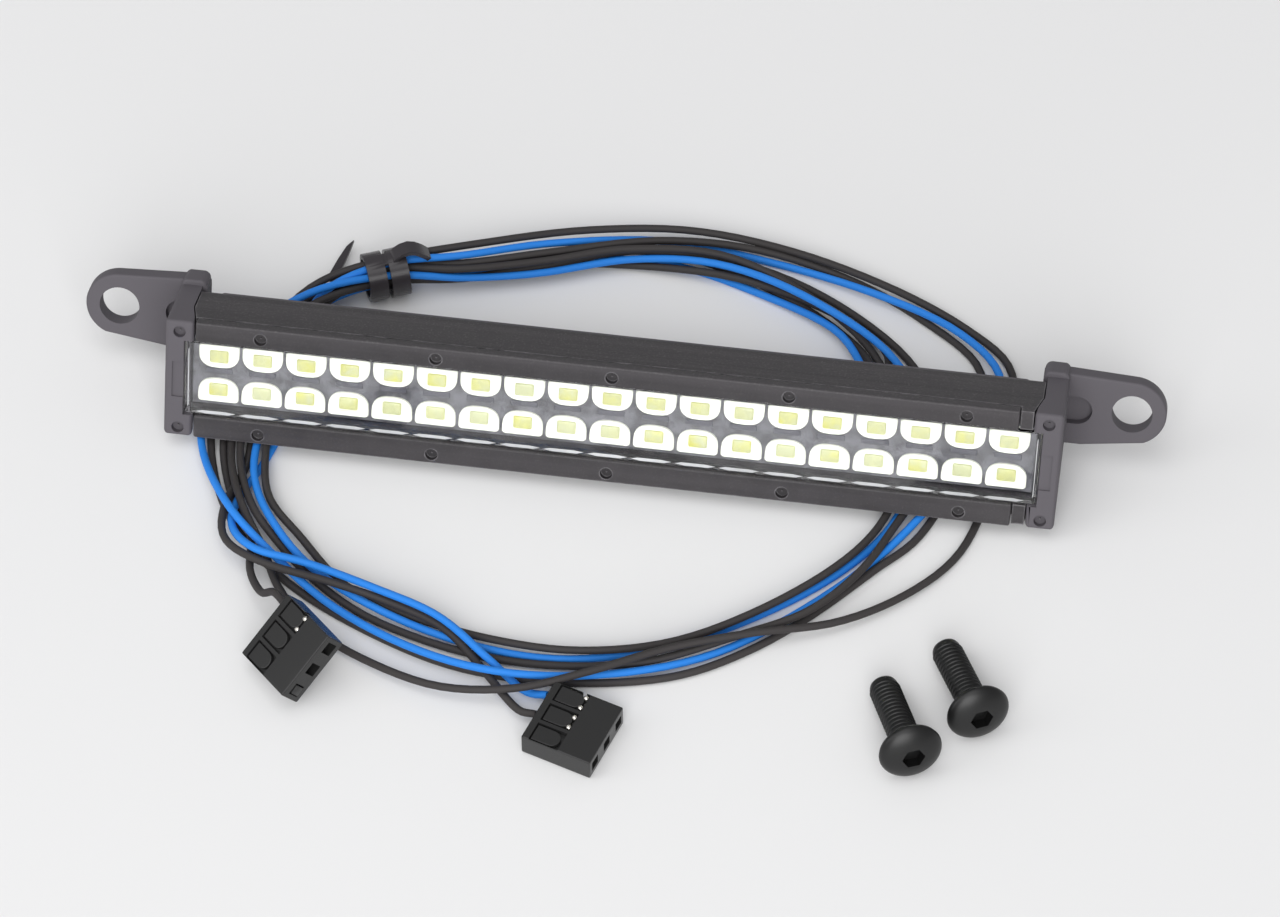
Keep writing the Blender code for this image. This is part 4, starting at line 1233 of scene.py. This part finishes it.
def screw_place(name):
    place, toward = SCREWS[name]
    tilt = math.radians(SCREW_TILT)
    flat = Vector((-toward[0], -toward[1], 0.0)).normalized()
    axis = flat * math.cos(tilt) + Vector((0, 0, math.sin(tilt)))
    turn = axis.to_track_quat("Z", "Y").to_matrix().to_4x4()
    return LAYOUT @ Matrix.Translation(Vector((*place, HEAD * math.cos(tilt) + 0.01)) * MM) @ turn


def spun(profile, steps=64):
    """A profile of (radius, height) turned round z, closed at both poles."""
    mesh = bpy.data.meshes.new("spun")
    work = bmesh.new()
    rings = []
    for radius, height in profile:
        if radius == 0.0:
            rings.append([work.verts.new((0, 0, height * MM))])
        else:
            rings.append([
                work.verts.new((p * MM, q * MM, height * MM))
                for p, q in circle((0, 0), radius, steps)
            ])
    for first, second in zip(rings, rings[1:]):
        for i in range(steps):
            j = (i + 1) % steps
            near, far = len(first), len(second)
            corners = [first[i % near], first[j % near], second[j % far], second[i % far]]
            unique = list(dict.fromkeys(corners))
            work.faces.new(unique)
    bmesh.ops.recalc_face_normals(work, faces=work.faces)
    work.to_mesh(mesh)
    work.free()
    return mesh


def screw_mesh():
    """Button head with a hexagon socket, and a plain core that the thread is wound on."""
    dome = [
        (HEAD * math.cos(math.radians(a)), 0.3 + (HEAD_HIGH - 0.3) * math.sin(math.radians(a)))
        for a in range(66, -1, -6)
    ]
    core = SHANK - 0.08
    profile = [
        (0.0, HEAD_HIGH - 0.12), *dome, (HEAD - 0.12, 0.0), (SHANK + 0.1, 0.0), (SHANK, -0.15),
        (core, -0.35),
    ]
    profile += [
        (core, 0.55 - SCREW_LENGTH), (core - 0.1, 0.25 - SCREW_LENGTH),
        (core - 0.38, 0.02 - SCREW_LENGTH),
    ]
    profile += [(core - 0.6, -SCREW_LENGTH), (0.0, -SCREW_LENGTH)]
    key = prism(circle((0, 0), HEX / math.sqrt(3), 6), HEAD_HIGH - 1.2, HEAD_HIGH + 1.0)
    return faired(worked(spun(profile), ("cut", key)))


# Operators, one for each piece or group of like pieces


class LightBarStage(bpy.types.Operator):
    """Sets up the camera, the pale floor and the soft lights"""

    bl_idname = "light_bar.stage"
    bl_label = "Stage"

    def execute(self, context):
        camera_data = bpy.data.cameras.new("camera")
        camera_data.lens = 167.6
        camera_data.sensor_width = 36.0
        camera_data.clip_start = 0.02
        camera = linked("camera", camera_data)
        aim = Vector((3.13, 10.09, 3.175)) * MM
        back = Vector((0.0850, -0.6125, 0.7859)).normalized()
        right = Vector((0.9905, 0.1374, 0.0)).normalized()
        up = back.cross(right)
        turn = Matrix((right, up, back)).transposed().to_4x4()
        camera.matrix_world = Matrix.Translation(aim + back * CAMERA_DISTANCE) @ turn
        context.scene.camera = camera
        reach = FLOOR_HALF / MM
        floor = linked("floor", block((-reach, -reach, -FLOOR_THICK), (reach, reach, 0.0)))
        floor.data.materials.append(floor_finish())
        lights = {
            "softbox_above": ((-0.2, -0.2, 0.95), 1.0, 4.1),
            "softbox_front": ((0.1, -0.95, 0.6), 0.9, 9.5),
            "softbox_side": ((-0.9, -0.3, 0.5), 0.6, 1.6),
        }
        for name, (place, side, power) in lights.items():
            data = bpy.data.lights.new(name, "AREA")
            data.size = side
            data.energy = power
            lamp = linked(name, data)
            lamp.location = place
            lamp.rotation_euler = (Vector((0, 0.01, 0)) - Vector(place)).to_track_quat("-Z", "Y").to_euler()
        world = bpy.data.worlds.new("studio")
        world.use_nodes = True
        world.node_tree.nodes["Background"].inputs["Color"].default_value = (1.0, 1.0, 1.02, 1.0)
        world.node_tree.nodes["Background"].inputs["Strength"].default_value = 0.36
        context.scene.world = world
        context.scene.view_settings.view_transform = "Standard"
        return {"FINISHED"}


class LightBarHousing(bpy.types.Operator):
    """Builds the long housing and the cover on its back"""

    bl_idname = "light_bar.housing"
    bl_label = "Housing and rear cover"

    def execute(self, context):
        add_piece("long_housing", housing_mesh(), [drawn_charcoal()], BAR_PLACE, ["housing"])
        body = block((-40.6, COVER[0], 4.5), (40.6, COVER[1], 11.9))
        panel = block((-20.0, COVER[1] - 0.25, 5.8), (18.0, COVER[1] + 1, 10.6))
        cover = faired(worked(body, ("bevel", 0.35, 3), ("cut", panel)))
        add_piece("back_cover", cover, [charcoal_plastic()], BAR_PLACE, ["rear_cover"])
        fin = worked(block((-0.35, COVER[1] - 0.35, 6.3), (0.35, COVER[1] - 0.02, 10.1)), ("bevel", 0.1, 2))
        fins = row(fin, 13, 2.6, (-16.6, 0.0, 0.0), charcoal_plastic())
        add_piece("cover_fins", fins, [charcoal_plastic()], BAR_PLACE)
        return {"FINISHED"}


class LightBarStrips(bpy.types.Operator):
    """Builds the two strips that hold the lens, and every moulded bolt head"""

    bl_idname = "light_bar.strips"
    bl_label = "Strips and bolt heads"

    def execute(self, context):
        for name, low, high, row_u, node_name in (
            ("upper_strip", WINDOW[1], HEIGHT, BOLT_ROWS[1], "top_strip"),
            ("lower_strip", 0.0, WINDOW[0], BOLT_ROWS[0], "bottom_strip"),
        ):
            add_piece(name, strip_mesh(low, high, row_u), [drawn_charcoal()], BAR_PLACE, [node_name])
        tree = bolt_tree()
        shared = {
            "Radius": sizes().bolt_radius, "Height": 0.5 * MM,
            "Rise": (BOLT_ROWS[1] - BOLT_ROWS[0]) * MM,
        }
        middle = Matrix.Translation(Vector((0.0, GROOVE_DEEP + 0.02, sum(BOLT_ROWS) / 2)) * MM)
        for name, columns, width in (
            ("strip_bolts", 5, 4 * sizes().bolt_pitch),
            ("cap_bolts", 2, 2 * CAP_BOLT_X * MM),
        ):
            heads = grown(tree, {**shared, "Columns": columns, "Width": width}, lit_bolt_plastic())
            add_piece(name, heads, [lit_bolt_plastic()], BAR_PLACE @ middle @ FRONT_VIEW)
        return {"FINISHED"}


class LightBarCaps(bpy.types.Operator):
    """Builds the two end caps with their ears"""

    bl_idname = "light_bar.caps"
    bl_label = "End caps"

    def execute(self, context):
        add_piece("left_cap", cap_mesh(-1), [charcoal_plastic()], BAR_PLACE, ["left_end_cap"])
        add_piece("right_cap", cap_mesh(1), [charcoal_plastic()], BAR_PLACE, ["right_end_cap"])
        return {"FINISHED"}


class LightBarLens(bpy.types.Operator):
    """Builds the clear lens and the painted highlights on its lower edge and end walls"""

    bl_idname = "light_bar.lens"
    bl_label = "Lens"

    def execute(self, context):
        add_piece("clear_lens", lens_mesh(), [clear_plastic()], BAR_PLACE, ["lens"])
        pitch = sizes().led_pitch / MM
        start = -pitch * (LED_COUNT - 1) / 2
        # Painted highlights: a bright sliver under each LED along the lens's lower edge, and one on each end
        # wall, standing in for light reflected in the clear lens.
        slivers = row(
            highlight_sliver_shape(), LED_COUNT, pitch, (start, LENS_FRONT - 0.03, LENS[0] + 0.32),
            lens_painted_highlight(),
        )
        end = worked(
            prism([(-0.05, -3.3), (0.07, -3.1), (0.05, 3.3), (-0.07, 3.1)], -0.1, 0.0, FRONT_VIEW), (
                "bevel", 0.03, 1,
            )
        )
        ends = row(end, 2, 2 * LENS_X - 0.7, (0.35 - LENS_X, LENS_FRONT - 0.03, sum(LENS) / 2), lens_painted_highlight())
        add_piece("lens_slivers", merged([slivers, ends]), [lens_painted_highlight()], BAR_PLACE, ())
        return {"FINISHED"}


class LightBarLeds(bpy.types.Operator):
    """Builds the LED board, the painted shade beneath each LED, the packages and their phosphor"""

    bl_idname = "light_bar.leds"
    bl_label = "LEDs and board"

    def execute(self, context):
        pitch = sizes().led_pitch / MM
        start = -pitch * (LED_COUNT - 1) / 2
        white, yellow = [], []
        for index, u in enumerate(LED_ROWS):
            turn = (0.0, math.pi if index == 0 else 0.0, 0.0)
            white.append(row(led_shape(), LED_COUNT, pitch, (start, 0.0, u), led_ceramic(), turn))
            glow = bpy.data.materials.get("phosphor") or phosphor()
            yellow.append(row(phosphor_shape(), LED_COUNT, pitch, (start, 0.0, u), glow, turn, 11 + index))
        stands_for = [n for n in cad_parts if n.startswith("led_top_") or n.startswith("led_bottom_")]
        add_piece("led_packages", merged(white), [led_ceramic()], BAR_PLACE, stands_for)
        add_piece("led_phosphor", merged(yellow), [glow], BAR_PLACE, ())
        board = faired(worked(block((-42.0, BOARD[0], 3.05), (42.0, BOARD[1], 10.05)), ("bevel", 0.08, 1)))
        add_piece("board", board, [board_finish()], BAR_PLACE, ["led_board"])
        # Painted shade: a dark patch on the board just beneath each LED, where the LED shades it.
        dark = plastic("painted_led_shade", finishes().painted_shade_colour, 0.3, grain=4200.0, bump=0.08)
        shade_patch = worked(block((-1.35, BOARD[0] - 0.1, -0.3), (1.35, BOARD[0] + 0.05, 0.3)), ("bevel", 0.06, 1))
        upper = row(shade_patch.copy(), LED_COUNT, pitch, (start, 0.0, 6.85), dark)
        lower = row(shade_patch, LED_COUNT, pitch, (start, 0.0, 3.55), dark)
        add_piece("board_pads", merged([upper, lower]), [dark], BAR_PLACE, ())
        return {"FINISHED"}


class LightBarGland(bpy.types.Operator):
    """Builds the ribbed boot that the leads leave through"""

    bl_idname = "light_bar.gland"
    bl_label = "Gland"

    def execute(self, context):
        half, radius = GLAND_SIZE[0] / 2, GLAND_SIZE[1] / 2
        shift = half - radius

        def stadium(grow):
            right = arc((shift, 0.0), radius + grow, -90, 90, 12)
            return right + arc((-shift, 0.0), radius + grow, 90, 270, 12)

        core = worked(prism(stadium(-0.3), -GLAND[1], -GLAND[0], FRONT_VIEW), ("bevel", 0.15, 2))
        core.transform(Matrix.Translation(Vector((GLAND_X, 0.0, GLAND_U)) * MM))
        rib = worked(prism(stadium(0.0), -0.2, 0.2), ("bevel", 0.1, 2))
        rib.transform(END_VIEW)
        ribs = row(rib, 4, 0.72, (0.0, 0.0, 0.0), black_insulation())
        turn = Matrix.Rotation(math.radians(90.0), 4, "Z")
        ribs.transform(Matrix.Translation(Vector((GLAND_X, GLAND[0] + 0.35, GLAND_U)) * MM) @ turn)
        add_piece(
            "gland_boot", merged([core, ribs]), [black_insulation()], BAR_PLACE, ["outlet_gland"],
        )
        return {"FINISHED"}


class LightBarSockets(bpy.types.Operator):
    """Builds the two three-way sockets with their contacts and the plug of the unused way"""

    bl_idname = "light_bar.sockets"
    bl_label = "Sockets"

    def execute(self, context):
        contacts = {"socket_1": {1: "contact_black_1"}, "socket_2": {0: "contact_black_2", 1: "contact_blue"}}
        for name, pose in (("socket_1", SOCKET_1), ("socket_2", SOCKET_2)):
            place = socket_place(pose)
            add_piece(name + "_body", socket_mesh(), [socket_plastic()], place, [name])
            for way, node_name in contacts[name].items():
                add_piece(
                    node_name + "_crimp", contact_mesh(way), [tinned_metal()], place, [node_name],
                )
        front = SOCKET[0] / 2
        plug = worked(
            block((front - 3.6, -WAY - 0.5, -0.5), (front + 0.15, -WAY + 0.5, 0.5)),
            ("bevel", 0.1, 2),
        )
        add_piece(
            "way_plug", plug, [socket_plastic()], socket_place(SOCKET_1), ["blanking_plug"],
        )
        return {"FINISHED"}


class LightBarLeads(bpy.types.Operator):
    """Builds the three leads"""

    bl_idname = "light_bar.leads"
    bl_label = "Leads"

    def execute(self, context):
        leads = {
            "blue": (
                BLUE_ROUTE, blue_insulation(), "blue_lead", "blue_insulation",
                ["socket_2_body", "contact_blue_crimp"],
            ),
            "black_2": (
                BLACK_2_ROUTE, black_insulation(), "black_lead_2", "black_insulation",
                ["contact_black_2_crimp"],
            ),
            "black_1": (
                BLACK_1_ROUTE,
                black_insulation(),
                "black_lead_1",
                "black_insulation",
                ["socket_1_body", "contact_black_1_crimp", "way_plug"],
            ),
        }
        for key, (route, paint, node_name, slot, on_it) in leads.items():
            made = lead_piece(key + "_jacket", route, paint, node_name)
        return {"FINISHED"}


class LightBarTie(bpy.types.Operator):
    """Builds the cable tie round the leads"""

    bl_idname = "light_bar.tie"
    bl_label = "Cable tie"

    def execute(self, context):
        turn = Matrix.Rotation(math.radians(TIE_TURN), 4, "Z")
        place = LAYOUT @ Matrix.Translation(Vector(TIE_AT) * MM) @ turn
        add_piece("strap_tie", tie_mesh(), [tie_plastic()], place, ["cable_tie"])
        return {"FINISHED"}


class LightBarScrews(bpy.types.Operator):
    """Builds the two button-head screws, each with its wound thread"""

    bl_idname = "light_bar.screws"
    bl_label = "Screws"

    def execute(self, context):
        tree = thread_tree()
        pitch = sizes().thread_pitch
        turns = (SCREW_LENGTH - 1.0) * MM / pitch
        for name in SCREWS:
            place = screw_place(name)
            add_piece(name + "_body", screw_mesh(), [black_oxide()], place, [name], name)
            values = {"Pitch": pitch, "Turns": turns, "Radius": (SHANK - 0.13) * MM, "Ridge": 0.17 * MM}
            thread = grown(tree, values, black_oxide())
            down = place @ Matrix.Translation((0.0, 0.0, (0.7 - SCREW_LENGTH) * MM))
            add_piece(name + "_thread", thread, [black_oxide()], down, (), name)
        return {"FINISHED"}


OPERATORS = (
    LightBarStage,
    LightBarSockets,
    LightBarLeads,
    LightBarHousing,
    LightBarStrips,
    LightBarCaps,
    LightBarLens,
    LightBarLeds,
    LightBarGland,
    LightBarTie,
    LightBarScrews,
)


class LightBarPanel(bpy.types.Panel):
    """Lists what can be built and what can be changed"""

    bl_idname = "VIEW3D_PT_light_bar"
    bl_label = "Light Bar"
    bl_space_type = "VIEW_3D"
    bl_region_type = "UI"
    bl_category = "Light Bar"

    def draw(self, context):
        for operator in OPERATORS:
            self.layout.operator(operator.bl_idname)
        for group in (context.scene.light_bar_sizes, context.scene.light_bar_finishes):
            box = self.layout.box()
            for key in group.bl_rna.properties.keys():
                if key not in {"rna_type", "name"}:
                    box.prop(group, key)


CLASSES = (LightBarSizes, LightBarFinishes, *OPERATORS, LightBarPanel)


def register():
    for each in CLASSES:
        bpy.utils.register_class(each)
    bpy.types.Scene.light_bar_sizes = bpy.props.PointerProperty(type=LightBarSizes)
    bpy.types.Scene.light_bar_finishes = bpy.props.PointerProperty(type=LightBarFinishes)


def unregister():
    del bpy.types.Scene.light_bar_finishes
    del bpy.types.Scene.light_bar_sizes
    for each in reversed(CLASSES):
        bpy.utils.unregister_class(each)


def main():
    register()
    for operator in OPERATORS:
        group, label = operator.bl_idname.split(".")
        getattr(getattr(bpy.ops, group), label)()


if __name__ == "__main__":
    main()
